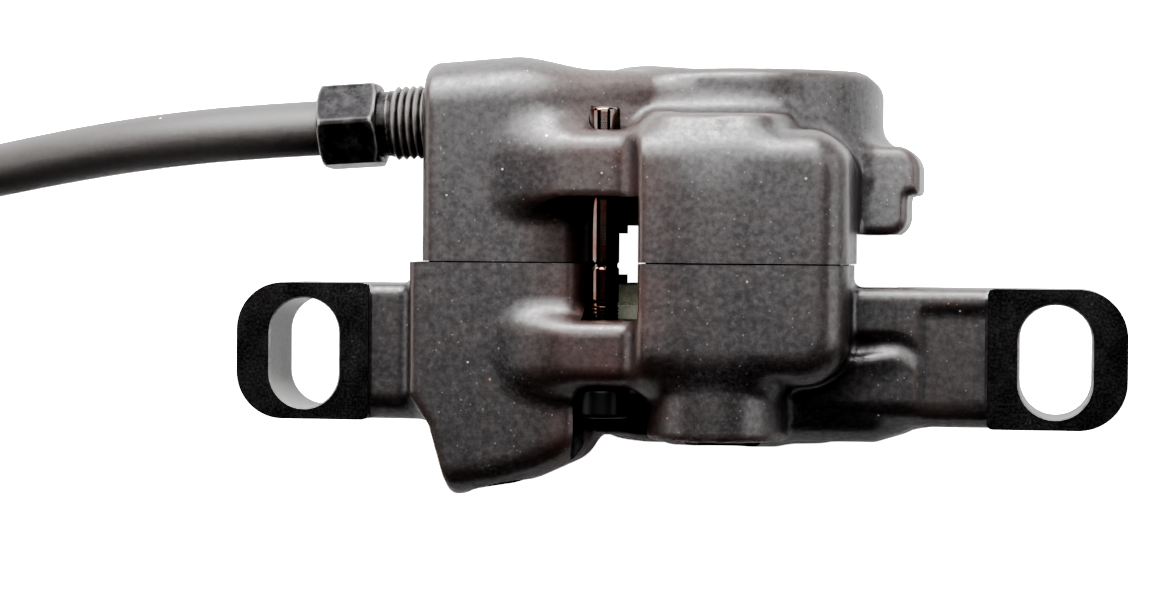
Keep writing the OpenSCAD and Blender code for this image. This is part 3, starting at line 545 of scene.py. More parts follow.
ridge = step_node(thread_tree, "GeometryNodeCurveToMesh",
                  {"Curve": spiral, "Profile Curve": diamond, "Fill Caps": True})["Mesh"]
spot = step_node(thread_tree, "ShaderNodeSeparateXYZ",
                 {"Vector": step_node(thread_tree, "GeometryNodeInputPosition", {})["Position"]})
out_far = math_node(thread_tree, "SQRT", sum_of(thread_tree, (spot["X"], spot["X"]), (spot["Y"], spot["Y"])))
# Crests are stored as outer edges, so a finish with pale edges lightens them: rubbing, and a painted
# highlight along the crests.
crest = step_node(thread_tree, "ShaderNodeMapRange", {
    "Value": out_far, "From Min": sum_of(thread_tree, (half_pitch, 0.6), plus=root),
    "From Max": thread_in["Crest Radius"], "To Max": 1.0})["Result"]
ridge = step_node(thread_tree, "GeometryNodeStoreNamedAttribute",
                  {"Geometry": ridge, "Name": "outer_edge", "Value": crest}, data_type="FLOAT")["Geometry"]
end_tree(thread_tree, (thread_in["Geometry"], ridge), thread_in["Material"], thread_out)


def threaded(piece, material, radius, pitch, turns, start):
    """Grows a thread on a piece that was drawn round Z, with its sizes in millimetres."""
    grown(piece, thread_tree, Crest_Radius=radius * MM, Pitch=pitch * MM, Turns=turns, Start=start * MM,
          Material=material)


black_steel = grained("black_steel", (0.006, 0.0057, 0.0066), (0.013, 0.012, 0.014), 0.26, 0.4, scale=3000.0,
                      dent=0.006, specular=0.13, dust=0.02, edge_wear_and_glint=0.95, scuff=0.075)
for name, node, at, way in (
        ("caliper_nut", "hose_nut", PORT + NUT_TIP * PORT_OUT, PORT_OUT),
        ("lever_end_nut", "lever_nut", tail_first + LEVER_NUT_TIP * tail_way, -tail_way)):
    nut = solid(name, *skin_of(nut_form, (-5.0, -5.0, -0.4), (5.0, 5.0, 17.3), 0.19), black_steel)
    edge_marks(nut, nut_form, 0.22)
    threaded(nut, black_steel, NUT_THREAD_R, NUT_PITCH, turns=12.4, start=0.4)
    stand_up(nut, at, way, NUT_TWIST)
    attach(nut, "caliper_body")
    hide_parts(node)

# Olives, inserts and boot.
# Inside each nut a soft brass ring grips the hose, and a barbed steel tube keeps its bore open. At the lever
# end a short moulded rubber boot sits on the hose, ready to slide over the nut's hexagon.
BOOT_LOW, BOOT_HIGH, BOOT_BORE_R, BOOT_R = 4.0, 12.0, 2.85, 3.65
GROOVES, GROOVE_STEP, GROOVE_R = 4, 1.5, 3.3


def painted(material, *nodes):
    """Gives CAD nodes a finish."""
    for name in nodes:
        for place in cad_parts[name].material_slots:
            place.material = material


olive_brass = grained("olive_brass", (0.55, 0.36, 0.13), (0.66, 0.46, 0.20), 0.22, 0.38, metallic=1.0,
                      scale=3000.0, dent=0.008)
zinc_steel = grained("zinc_steel", (0.50, 0.50, 0.49), (0.66, 0.66, 0.64), 0.22, 0.4, metallic=1.0,
                     scale=2600.0, dent=0.008)
seal_rubber = grained("seal_rubber", (0.010, 0.010, 0.010), (0.022, 0.021, 0.021), 0.5, 0.68,
                      scale=2200.0, dent=0.02, dust=0.05)
painted(olive_brass, "hose_olive", "lever_olive")
painted(zinc_steel, "hose_insert", "lever_insert")
boot_section = [(BOOT_BORE_R, BOOT_LOW), (3.35, BOOT_LOW), (3.6, BOOT_LOW + 0.25)]
for k in range(1, GROOVES + 1):
    groove = BOOT_LOW + GROOVE_STEP * k
    boot_section += [(BOOT_R, groove), (GROOVE_R, groove + 0.2), (GROOVE_R, groove + 0.5),
                     (BOOT_R, groove + 0.7)]
boot_section += [(BOOT_R, BOOT_HIGH - 0.25), (3.4, BOOT_HIGH), (BOOT_BORE_R, BOOT_HIGH)]
boot_corners, boot_faces = turned(boot_section, 56, loop=True)
lever_end_boot = solid("lever_end_boot", stood(boot_corners, tail_first, tail_way), boot_faces, seal_rubber)
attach(lever_end_boot, "caliper_body")
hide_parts("lever_boot")

# Coil tie.
# A ribbed nylon strap drawn tight round both layers of the coil, with its tail cut short in the lock. It
# keeps the hose coiled as packed.
TIE_W, TIE_T, TIE_BEVEL, TIE_TURN, TIE_SLACK, TIE_GAP, BEND_STEPS = 5.0, 0.6, 0.12, 0.75, 0.35, 0.2, 12
RIB_STEP, RIB_SIZE = 0.9, (0.32, 3.6, 0.3)
tie_at = np.array([COIL_AT[0], COIL_AT[1], COIL_Z])
tie_low = np.array([COIL_OUT - COIL_STEP * (TIE_TURN + 1) - HOSE_D / 2 - TIE_SLACK,
                    -HOSE_D / 2 - TIE_GAP]) - TIE_T
tie_high = np.array([COIL_OUT - COIL_STEP * TIE_TURN + HOSE_D / 2 + TIE_SLACK,
                     COIL_STEP + HOSE_D / 2 + TIE_GAP]) + TIE_T


def box_3d(x, y, z, low, high, r):
    """Distance outside a box with its edges rounded."""
    q = [np.abs(w - (a + b) / 2) - (b - a) / 2 + r for w, a, b in zip((x, y, z), low, high)]
    outside = np.sqrt(sum(np.maximum(w, 0) ** 2 for w in q))
    return outside + np.minimum(shared(*q), 0) - r


def lock_form(x, y, z):
    lock = box_3d(x, y, z, (-2.6, -3.4, 0.0), (2.6, 3.4, 3.0), 0.5)
    mouth = box_3d(x, y, z, (-1.4, -2.6, 2.2), (1.4, 2.6, 4.0), 0.3)
    tail = box_3d(x, y, z, (-0.5, -2.3, 0.4), (0.5, 2.3, 4.2), 0.25)
    return either(shared(lock, -mouth), tail)


tie_loop, tie_out = [], []
for right, top, first in ((1, 0, -90), (1, 1, 0), (0, 1, 90), (0, 0, 180)):
    corner = np.array([(tie_low, tie_high)[right][0], (tie_low, tie_high)[top][1]])
    middle = corner + HOSE_D / 2 * np.array([1 - 2 * right, 1 - 2 * top])
    for k in range(BEND_STEPS + 1):
        angle = math.radians(first + 90 * k / BEND_STEPS)
        tie_out.append((math.cos(angle), math.sin(angle)))
        tie_loop.append(middle + HOSE_D / 2 * np.array(tie_out[-1]))
half_w, flat_w = TIE_W / 2, TIE_W / 2 - TIE_BEVEL
low_bevel = TIE_BEVEL - TIE_T
tie_section = [(-half_w, -TIE_BEVEL), (-flat_w, 0.0), (flat_w, 0.0), (half_w, -TIE_BEVEL),
               (half_w, low_bevel), (flat_w, -TIE_T), (-flat_w, -TIE_T), (-half_w, low_bevel)]
tie_corners = [tie_at + np.array([p[0] + d * n[0], w, p[1] + d * n[1]])
               for p, n in zip(tie_loop, tie_out) for w, d in tie_section]
tie_faces = ring_faces(len(tie_loop), len(tie_section), closed=True)

# Ribs across the outside of the strap, at even steps along its loop.
rib_tree, rib_in, rib_out = node_tree("strap_ribs", ("Spacing", "Float"), ("Rib Size", "Vector"),
                                      ("Strap", "Object"), ("Material", "Material"))
rib_line = step_node(rib_tree, "GeometryNodeMeshToCurve", {"Mesh": rib_in["Geometry"]})["Curve"]
rib_line = step_node(rib_tree, "GeometryNodeResampleCurve", {"Curve": rib_line, "Length": rib_in["Spacing"]},
                     mode="LENGTH")["Curve"]
rib_turn = step_node(rib_tree, "FunctionNodeAlignRotationToVector",
                     {"Vector": step_node(rib_tree, "GeometryNodeInputTangent", {})["Tangent"]},
                     axis="X", pivot_axis="Y")["Rotation"]
rib_bar = step_node(rib_tree, "GeometryNodeMeshCube", {"Size": rib_in["Rib Size"]})["Mesh"]
ribs = step_node(rib_tree, "GeometryNodeInstanceOnPoints",
                 {"Points": rib_line, "Instance": rib_bar, "Rotation": rib_turn})["Instances"]
strap_mesh = step_node(rib_tree, "GeometryNodeObjectInfo", {"Object": rib_in["Strap"]})["Geometry"]
end_tree(rib_tree, (ribs, strap_mesh), rib_in["Material"], rib_out)

tie_plastic = grained("tie_plastic", (0.010, 0.010, 0.010), (0.020, 0.020, 0.020), 0.32, 0.46,
                      scale=1600.0, dent=0.01, dust=0.04)
lock_corners, lock_faces = skin_of(lock_form, (-3.2, -4.0, -0.6), (3.2, 4.0, 4.8), 0.25)
lock_at = tie_at + np.array([(tie_low[0] + tie_high[0]) / 2, 0.0, tie_high[1] - 0.2])
strap = solid("strap_band", np.vstack([tie_corners, lock_corners + lock_at]),
              tie_faces + list(lock_faces + len(tie_corners)), tie_plastic)
coil_strap = raw("coil_strap", [tie_at + np.array([p[0], 0.0, p[1]]) for p in tie_loop],
                 edges=[(i, (i + 1) % len(tie_loop)) for i in range(len(tie_loop))])
grown(coil_strap, rib_tree, Spacing=RIB_STEP * MM, Rib_Size=tuple(MM * v for v in RIB_SIZE), Strap=strap,
      Material=tie_plastic)
discard(strap)
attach(coil_strap, "caliper_body")
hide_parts("coil_tie")

# Lower casting.
# The outboard half of the body: one aluminium casting, black anodised, with both slotted ears, the wing
# round a bolt's head, a bolt boss and a round piston chamber. Joint, bores, slots and pocket are machined.
SKIN_STEP, LOWER_SPAN = 0.42, ((-46, -16, -22.2), (46, 11, 17.2))
FAR_X, FAR_Z, NOWHERE = 50, 30, 99.0
SPLIT_Y, SPLIT_GAP, DISC_Y, BASE_Z = 9.2, 0.05, 10.0, -21.0
DISC_AXIS_Z, DISC_SLOT_R, DISC_SLOT_W = -76.0, 80.8, 4.4
PISTON_X, PISTON_Z, BORE_R, SEAL_R = 5.6, -7.0, 11.05, 12.25
CHAMBER_R, CHAMBER_END, HOUSING_END = 13.81, 18.5, 9.0
BRIDGE_LEFT, BRIDGE_RIGHT, BRIDGE_LOW, BRIDGE_FRONT, BRIDGE_BACK = -2.8, 17.3, -2.5, 16.0, -1.0
BOSS_X, BOSS_Z, BOSS_R, BOSS_LOW = 4.3, 8.9, 6.9, -8.0
BLOCK_FRONT, BLOCK_BACK, WING_RIGHT = 12.0, -4.0, -8.8
WING_EDGE = ((-26.0, -3.9), (-24.0, -6.9), (-22.0, -13.9), (-17.0, -13.15), (-13.0, -11.9), (-10.0, -10.5))
SKIRT_EDGE = ((5.6, -8.1), (19.4, -8.1), (24.6, -6.5))
ARM_LOW, ARM_HIGH, ARM_END, ARM_CORNER, ARM_FRONT, ARM_BACK = -6.6, 7.0, 43.9, 4.7, 8.9, 0.5
EAR_START, EAR_FRONT, EAR_BACK, EAR_FACE = 30.5, 10.2, -0.7, 9.5
SLOT_X, SLOT_R, SLOT_HALF, SLOT_BEVEL = 37.0, 3.5, 2.0, 0.15
POCKET_LEFT, POCKET_RIGHT, POCKET_FRONT, POCKET_LOW, WINDOW_LOW = -8.65, 17.05, 4.8, 2.7, 3.6
PIN_X, PIN_Z = -6.85, 10.0
BOLT_SEATS, BOLT_MOUTHS = ((BOSS_X, -2.2, BOSS_Z), (-17.0, -5.6, 6.6)), (BOSS_LOW, -13.3)
MOUTH_R, HEAD_ROOM_R, SHANK_ROOM_R = 4.5, 4.15, 2.6


def round_join(a, b, r):
    """Two forms as one, with a hollow fillet of radius r where they meet."""
    return np.maximum(np.minimum(a, b), r) - np.hypot(np.maximum(r - a, 0), np.maximum(r - b, 0))


def past_line(u, v, a, b):
    """Distance to the right of the line from a to b."""
    du, dv = b[0] - a[0], b[1] - a[1]
    return ((u - a[0]) * dv - (v - a[1]) * du) / math.hypot(du, dv)


def plate_2d(u, v, low, high, r):
    """Distance outside a rectangle with its corners rounded."""
    qu = np.abs(u - (low[0] + high[0]) / 2) - (high[0] - low[0]) / 2 + r
    qv = np.abs(v - (low[1] + high[1]) / 2) - (high[1] - low[1]) / 2 + r
    return np.hypot(np.maximum(qu, 0), np.maximum(qv, 0)) + np.minimum(np.maximum(qu, qv), 0) - r


def brick(low, high):
    """Corners and faces of a plain box, for cutting with."""
    (x0, y0, z0), (x1, y1, z1) = low, high
    return lofted([[(x0, y0, z), (x1, y0, z), (x1, y1, z), (x0, y1, z)] for z in (z0, z1)])


def drilled(at, way, profile, sides=48):
    """Turned cutter along a direction from a place, from (radius, distance) points."""
    profile = [(0, profile[0][1])] + profile + [(0, profile[-1][1])]
    corners, faces = turned(profile, sides)
    return stood(corners, at, way), faces


def cut_by(piece, tool):
    """Takes one closed piece out of another, which gets the tool's finish where it is cut."""
    change = piece.modifiers.new("cut", "BOOLEAN")
    change.object, change.operation, change.solver = tool, "DIFFERENCE", "MANIFOLD"
    change.material_mode = "TRANSFER"
    applied(piece)
    discard(tool)


def machined(piece, cutters, finish):
    """Takes cutters out of a piece, and gives the cut faces the machined finish."""
    for k, cutter in enumerate(cutters):
        before = len(piece.data.polygons), len(piece.data.vertices)
        cut_by(piece, solid(f"cutter_{k}", *cutter, finish))
        if (len(piece.data.polygons), len(piece.data.vertices)) == before:
            raise RuntimeError(f"cut {k} of {piece.name} takes nothing away")


def joint_groove(form, span):
    """Cutter for the hairline round the joint: a thin plate that stops short of the middle of the form."""
    (x0, _, z0), (x1, _, z1) = span
    plate = solid("joint_plate", *brick((x0, SPLIT_Y - SPLIT_GAP, z0), (x1, SPLIT_Y + SPLIT_GAP, z1)))
    cut_by(plate, solid("joint_core", *skin_of(
        lambda x, y, z: shared(form(x, np.full_like(y, SPLIT_Y), z) + 0.7, np.abs(y - SPLIT_Y) - 1.0),
        (x0, SPLIT_Y - 2, z0), (x1, SPLIT_Y + 2, z1), 0.5)))
    cutter = points_of(plate), [tuple(p.vertices) for p in plate.data.polygons]
    discard(plate)
    return cutter


def piston_side(x, z, outward, shoulder):
    """Chamber, and housing of the pads, alike on both halves; outward is the distance from the disc."""
    end, chamber_right = outward - CHAMBER_END, PISTON_X + CHAMBER_R
    chamber = round_edge(np.hypot(x - PISTON_X, z - PISTON_Z) - CHAMBER_R, end, 1.1)
    chamber = shared(chamber, round_edge(x - PISTON_X - CHAMBER_R, end, 2.8))
    walls = [box_3d(x, outward, z, (left, -12, BASE_Z), (right, HOUSING_END, front), 1.0)
             for left, right, front in ((-10.65, BRIDGE_RIGHT, 6.0), (PISTON_X, chamber_right, shoulder),
                                        (-20.0, -8.0, 0.0))]
    return chamber, either(*walls)


def bridge_form(x, z, end, corner, edge):
    """The bridge over the disc, alike on both halves but for its end and how round it is."""
    bridge = round_edge(round_edge(x - BRIDGE_RIGHT, end, corner), z - BRIDGE_FRONT, edge)
    return shared(round_edge(bridge, BRIDGE_LEFT - x, 0.7), BRIDGE_BACK - z)


def tab_form(x, z, start, front, end, end_r, inner, inner_r):
    """A tab for the pad pin, with a sloping left end that runs into the block."""
    tab = round_edge(round_edge((z - x - start) * 0.707, end, end_r), z - front, 2.0)
    return shared(round_edge(tab, inner, inner_r), x + 1.8, 4.0 - z)


def wing_form(x, y, z):
    """The wing round the left bolt's head, with a bent left side and a well rounded underside."""
    sides = [past_line(x, y, a, b) for a, b in zip(WING_EDGE, WING_EDGE[1:])]
    left = shared(WING_EDGE[0][0] - x, either(*sides[:2]))
    front = round_edge(z - BLOCK_FRONT, shared(*sides[2:]), 3.0)
    wing = round_edge(round_edge(left, front, 0.8), x - WING_RIGHT, 2.2)
    return round_edge(wing, BLOCK_BACK - z, 0.8)


def arm_form(x, y, z, skirt):
    """Both arms, with a shallow pocket in the right one and a sloped swelling that stands in a groove."""
    arm = plate_2d(np.abs(x), y, (11.0, ARM_LOW), (ARM_END, ARM_HIGH), ARM_CORNER)
    arm = shared(round_edge(arm, z - ARM_FRONT, 1.1), round_edge(ARM_LOW - y, z - ARM_FRONT, 2.8),
                 ARM_BACK - z)
    arm = round_edge(arm, -box_3d(x, y, z, (24.2, -9.0, 8.75), (33.0, 4.8, 12.0), 0.6), 0.8)
    rim = plate_2d(x, y - 0.13 * (x - 18.0), (9.6, -14.0), (24.0, 0.4), 3.4)
    swell = round_edge(rim, 0.12 * (x - 17.0) - 0.2 * (y - 0.5) + 0.97 * (z - 9.5), 0.7)
    swell = shared(round_edge(swell, skirt, 2.0), 3.0 - z)
    arm = round_edge(arm, 1.3 - 0.1 * np.maximum(x - 18.5, 0) - np.hypot(rim - 0.8, z - 9.6), 0.5)
    return round_join(arm, swell, 0.4)


def ear_form(x, y, z):
    """The thicker ears at the arms' ends, which are faced and slotted later."""
    ear = plate_2d(np.abs(x), y, (20.0, ARM_LOW), (ARM_END, ARM_HIGH), ARM_CORNER)
    ear = round_edge(round_edge(ear, z - EAR_FRONT, 0.3), EAR_START - np.abs(x), 0.5)
    return shared(ear, EAR_BACK - z)


def fading(x, r, least):
    """A fillet's radius that fades towards the bridge's right side, where the forms run side by side."""
    return r * np.clip((16.6 - x) / 3.0, least, 1)


def lower_form(x, y, z):
    chamber, housing = piston_side(x, z, DISC_Y - y, 2.5)
    bridge = bridge_form(x, z, BRIDGE_LOW - y, 4.5, 3.2)
    boss = round_edge(np.hypot(x - BOSS_X, z - BOSS_Z) - BOSS_R, BOSS_LOW - y, 0.6)
    web = box_3d(x, y, z, (-11.0, -8.1, -4.0), (PISTON_X, 3.0, 3.0), 0.8)
    tab = tab_form(x, z, 26.8, 14.2, -3.0 - y, 2.4, y - WINDOW_LOW, 1.4)
    skirt = shared(past_line(x, y, *SKIRT_EDGE[:2]), past_line(x, y, *SKIRT_EDGE[1:]))
    flare = shared(round_edge(skirt, z - 4.5, 1.5), y, ARM_BACK - z, PISTON_X - x, x - 25.5)
    arm = arm_form(x, y, z, skirt)
    body = round_join(either(chamber, flare), housing, 1.2)
    body = round_join(body, web, 1.5)
    body = round_join(body, round_join(bridge, boss, 1.6), fading(x, 2.0, 0.04))
    body = round_join(body, np.where(x > 0, arm, NOWHERE), 0.9)
    body = round_join(body, wing_form(x, y, z), 1.2)
    body = round_join(body, tab, 2.2)
    body = round_join(body, np.where(x < 0, arm, NOWHERE), 1.6)
    return shared(either(body, ear_form(x, y, z)), BASE_Z - z, y - 10.3)


def casting_finish():
    """Black anodised casting: sandy grain, cloudy tone, pale outer edges from rubbing and as a painted edge
    highlight, and a little dust.
    """
    material, tree, shader, place = finish_material("black_casting", (0.02, 0.02, 0.02), 0.45)
    sand = laid(tree, grain_group, place, Scale=4200.0, Low=0.34, High=0.68)["Mask"]
    cloud = laid(tree, grain_group, place, Scale=260.0, Low=0.3, High=0.7)["Mask"]
    stain = laid(tree, grain_group, place, Scale=1700.0, Low=0.36, High=0.66)["Mask"]
    dust, tint_pick = laid(tree, dust_group, place, Scale=900.0, Share=0.04, Size=0.11)[:2]
    lint = laid(tree, dust_group, place, Scale=3200.0, Share=0.03, Size=0.3)["Mask"]
    across = step_node(tree, "ShaderNodeSeparateXYZ", {"Vector": place})["X"]
    from_pin = math_node(tree, "ABSOLUTE", math_node(tree, "ADD", across, 6.5 * MM))
    rusty = step_node(tree, "ShaderNodeMapRange",
                      {"Value": from_pin, "From Min": 9 * MM, "From Max": 2 * MM})["Result"]
    rust = math_node(tree, "MULTIPLY", rusty, math_node(tree, "ADD", cloud, 0.3))
    # Pale brownish outer edges: rubbing, and a painted highlight along the edges.
    worn_and_glint = math_node(tree, "MULTIPLY", outer_edge(tree), math_node(tree, "ADD", stain, 0.35))
    tints = tree.nodes.new("ShaderNodeValToRGB")
    tints.color_ramp.elements.new(1)
    for stop, place_on, tint in zip(tints.color_ramp.elements, (0.0, 0.7, 0.86),
                                    ((0.42, 0.40, 0.37), (0.30, 0.28, 0.26), (0.32, 0.13, 0.06))):
        stop.position, stop.color = place_on, (*tint, 1)
    fill(tree, tints, {"Fac": tint_pick})
    colour = (0.008, 0.0078, 0.008)
    for mask, paint, share in ((sand, (0.056, 0.053, 0.054), 1.0), (stain, (0.010, 0.0094, 0.0096), 0.6),
                               (cloud, (0.030, 0.023, 0.022), 0.3), (rust, (0.036, 0.017, 0.014), 0.6),
                               (worn_and_glint, (0.088, 0.06, 0.052), 0.5), (dust, tints.outputs["Color"], 0.75),
                               (lint, (0.16, 0.15, 0.145), 0.5)):
        colour = blend_colour(tree, mask, colour, paint, share)
    fill(tree, shader, {"Base Color": colour,
                        "Roughness": sum_of(tree, (sand, 0.05), (cloud, 0.06), plus=0.34),
                        "Specular IOR Level": sum_of(tree, (stain, -0.24), (sand, -0.3), plus=1.14)})
    bumped(tree, shader, sum_of(tree, (sand, 0.4), (stain, 0.6)), 0.6, 0.005)
    return material


def slot_cutter(x):
    """Round-ended mounting slot with a small bevel at both mouths."""
    outlines = []
    angles = [math.pi * k / 20 for k in range(21)]
    for z, grow in ((-3.0, SLOT_BEVEL), (0.0, SLOT_BEVEL), (SLOT_BEVEL, 0.0), (EAR_FACE - SLOT_BEVEL, 0.0),
                    (EAR_FACE, SLOT_BEVEL), (12.0, SLOT_BEVEL)):
        r = SLOT_R + grow
        outlines.append([(x + side * r * math.cos(a), side * (SLOT_HALF + r * math.sin(a)), z)
                         for side in (1, -1) for a in angles])
    return lofted(outlines)


def bolt_hole(seat, mouth):
    """Hole for a body bolt: a bevelled mouth, room for the head as far as its seat, and for the shank."""
    x, y, z = seat
    profile = [(MOUTH_R, mouth - 3.0), (MOUTH_R, mouth), (HEAD_ROOM_R, mouth + 0.35), (HEAD_ROOM_R, y),
               (SHANK_ROOM_R, y), (SHANK_ROOM_R, 14.0)]
    return drilled((x, 0.0, z), (0, 1, 0), profile)


def casting(name, form, span, *cuts):
    """A cast skin, then cut by sets of cutters with a finish each, with its outer edges marked for rubbing
    and a painted edge highlight.
    """
    piece = solid(name, *skin_of(form, *span, SKIN_STEP), black_casting, machined_black)
    for cutters, finish in cuts:
        machined(piece, cutters, finish)
    edge_marks(piece, form, 0.7)
    piece.data.set_sharp_from_angle(angle=math.radians(32))
    return piece


black_casting = casting_finish()
machined_black = grained("machined_black", (0.007, 0.007, 0.0072), (0.031, 0.030, 0.030), 0.18, 0.28,
                         scale=3800.0, dent=0.004, specular=0.25, dust=0.012, dust_colour=(0.12, 0.11, 0.1))
# Slot walls are light grey, well above the black machined faces: painted light standing in for light falling
# on the slot walls.
slot_wall = grained("slot_wall", (0.08, 0.078, 0.078), (0.20, 0.195, 0.19), 0.3, 0.42,
                    scale=2600.0, dent=0.008)
disc_path = drilled((PISTON_X, DISC_Y - DISC_SLOT_W / 2, DISC_AXIS_Z), (0, 1, 0),
                    [(DISC_SLOT_R, 0.0), (DISC_SLOT_R, DISC_SLOT_W)], sides=400)
bore_profile = [(BORE_R, -2.0), (BORE_R, 7.7), (SEAL_R, 7.7), (SEAL_R, 9.8), (BORE_R, 9.8), (BORE_R, 16.0)]
lower_cuts = [brick((-FAR_X, SPLIT_Y, -FAR_Z), (FAR_X, 14, FAR_Z)),
              joint_groove(lower_form, LOWER_SPAN),
              brick((16.05, 6.5, -FAR_Z), (21.5, 12, POCKET_FRONT)),
              brick((POCKET_LEFT, POCKET_LOW, -FAR_Z), (POCKET_RIGHT, 12, POCKET_FRONT)),
              brick((POCKET_LEFT, WINDOW_LOW, -FAR_Z), (BRIDGE_LEFT, 12, 20)),
              disc_path,
              drilled((PISTON_X, DISC_Y, PISTON_Z), (0, -1, 0), bore_profile, sides=96),
              drilled((PIN_X, 5.0, PIN_Z), (0, -1, 0), [(1.6, 0.0), (1.6, 8.0), (3.0, 8.0), (3.2, 17.0)]),
              *[bolt_hole(seat, mouth) for seat, mouth in zip(BOLT_SEATS, BOLT_MOUTHS)],
              drilled((13.7, SPLIT_Y, 8.0), (0, -1, 0), [(2.55, -2.0), (2.55, 1.1), (1.0, 1.1), (1.0, 9.0)])]
for left, right in ((-47.0, -30.0), (30.0, 47.0)):
    for low, high in ((EAR_FACE, 13.0), (-3.0, 0.0)):
        lower_cuts.append(brick((left, -10, low), (right, 10, high)))
lower_casting = casting("lower_casting", lower_form, LOWER_SPAN, (lower_cuts, machined_black),
                        ([slot_cutter(-SLOT_X), slot_cutter(SLOT_X)], slot_wall))
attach(lower_casting, "caliper_body")
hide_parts("mount_body_half")

# Upper casting.
# The inboard half of the body, cast and anodised like the lower one. Its left block takes the hose nut and,
# at the back, the bleed valve; a stepped lump stands at its right end.
UPPER_SPAN = ((-26.5, 7.0, -22.2), (25.5, 31.0, 17.2))
UPPER_END, WINDOW_HIGH, BLEED_X, BLEED_Y = 22.2, 15.6, -16.2, 23.15


def block_form(x, y, z):
    """The left block with the hose port, whose front and top fall away into the chamber."""
    falling = ease((x + 16.0) / 18.0)
    front = z - BLOCK_FRONT + 6.6 * falling
    top = y - 28.3 - 1.2 * ease((-8.0 - x) / 8.0) + 0.6 * np.clip((-16.0 - x) / 7.6, 0, 2)
    top = top + 2.2 * ease((x + 5.0) / 10.6)
    block = round_edge(PORT[0] - x, round_edge(front, top, 4.2 - 2.8 * falling), 1.2)
    block = round_edge(shared(block, x - PISTON_X), BLOCK_BACK - z, 0.8)
    return either(round_edge(block, x - POCKET_LEFT, 2.6), shared(block, WINDOW_HIGH - y))


def lump_form(x, y, z):
    """The stepped lump at the right end: a foot, and a crown that stands out over it."""
    foot = round_edge(round_edge(x - 22.3, 12.0 - y, 2.0), y - 20.0, 1.0)
    crown = round_edge(round_edge(x - 23.5, y - 21.0, 2.4), 16.2 - y, 0.5)
    lump = round_edge(round_join(foot, crown, 0.4), z - 1.2 + 0.09 * (y - 16.0), 0.9)
    return shared(lump, -10.0 - z, PISTON_X - x)


def upper_form(x, y, z):
    chamber, housing = piston_side(x, z, y - DISC_Y, 1.2)
    bridge = bridge_form(x, z, y - UPPER_END, 4.0, 3.0)
    slope = (y - 20.0) * 0.39 + (z - BRIDGE_FRONT) * 0.92
    boss = round_edge(round_edge(np.hypot(x - BOSS_X, z - BOSS_Z) - BOSS_R, slope, 1.2), y - 23.7, 0.5)
    boss = round_edge(boss, 1.6 - np.sqrt((x - 5.9) ** 2 + (y - 22.9) ** 2 + (z - 16.2) ** 2), 0.5)
    tab = tab_form(x, z, 26.4, 13.3, y - UPPER_END, 2.6, WINDOW_HIGH - y, 0.4)
    body = round_join(chamber, either(housing, lump_form(x, y, z)), 2.2)
    body = round_join(body, round_join(bridge, boss, 2.0), fading(x, 2.5, 0.25))
    body = round_join(body, block_form(x, y, z), 2.0)
    body = round_join(body, tab, 3.0)
    return shared(body, BASE_Z - z, 8.1 - y)


upper_cuts = [brick((-FAR_X, 4, -FAR_Z), (FAR_X, SPLIT_Y, FAR_Z)),
              joint_groove(upper_form, UPPER_SPAN),
              brick((POCKET_LEFT, 5, -FAR_Z), (POCKET_RIGHT, 17.3, POCKET_FRONT)),
              brick((POCKET_LEFT, 5, -FAR_Z), (BRIDGE_LEFT, WINDOW_HIGH, 20)),
              disc_path,
              drilled((PISTON_X, DISC_Y, PISTON_Z), (0, 1, 0), bore_profile, sides=96),
              drilled((PIN_X, 13.0, PIN_Z), (0, 1, 0), [(1.54, 0.0), (1.54, 11.55)]),
              *[drilled((x, 5.0, z), (0, 1, 0), [(SHANK_ROOM_R, 0.0), (SHANK_ROOM_R, depth)])
                for (x, _, z), depth in zip(BOLT_SEATS, (16.1, 12.7))],
              drilled(PORT, -PORT_OUT,
                      [(4.2, -3.0), (4.2, 0.0), (3.8, 0.4), (3.8, 5.8), (3.25, 5.8), (3.25, 10.6)]),
              drilled((BLEED_X, BLEED_Y, BLOCK_BACK), (0, 0, 1),
                      [(2.2, -3.0), (2.2, 5.2), (0.7, 5.2), (0.7, 10.0)])]
upper_casting = casting("upper_casting", upper_form, UPPER_SPAN, (upper_cuts, machined_black))
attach(upper_casting, "caliper_body")
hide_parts("hose_body_half")

# Body bolts.
# Two black socket-head screws that clamp the castings, put in from the lower casting with their heads sunk
# in its boss and wing.
BOLT_HEAD_R, BOLT_HEAD_H, BOLT_SOCKET, BOLT_CORE_R, BOLT_R, BOLT_LEN = 3.9, 5.0, 2.0, 2.12, 2.5, 22.5


def bolt_form(x, y, z):
    r = np.hypot(x, y)
    head = round_edge(r - BOLT_HEAD_R, np.abs(z + BOLT_HEAD_H / 2) - BOLT_HEAD_H / 2, 0.35)
    head = round_edge(head, -shared(hexagon(x, y, BOLT_SOCKET), z + 2.25), 0.15)
    return either(head, shared(round_edge(r - BOLT_CORE_R, z - BOLT_LEN, 0.5), -1.0 - z))


# One bolt set at every point that goes in, its shank along +Y.
spots_tree, spots_in, spots_out = node_tree("bolts_at_points", ("Bolt", "Object"), ("Material", "Material"))
one_bolt = step_node(spots_tree, "GeometryNodeObjectInfo", {"Object": spots_in["Bolt"]})["Geometry"]
lie_down = step_node(spots_tree, "FunctionNodeEulerToRotation", {"Euler": (-math.pi / 2, 0, 0)})["Rotation"]
both_bolts = step_node(spots_tree, "GeometryNodeInstanceOnPoints", {
    "Points": spots_in["Geometry"], "Instance": one_bolt, "Rotation": lie_down})["Instances"]
end_tree(spots_tree, (both_bolts,), spots_in["Material"], spots_out)

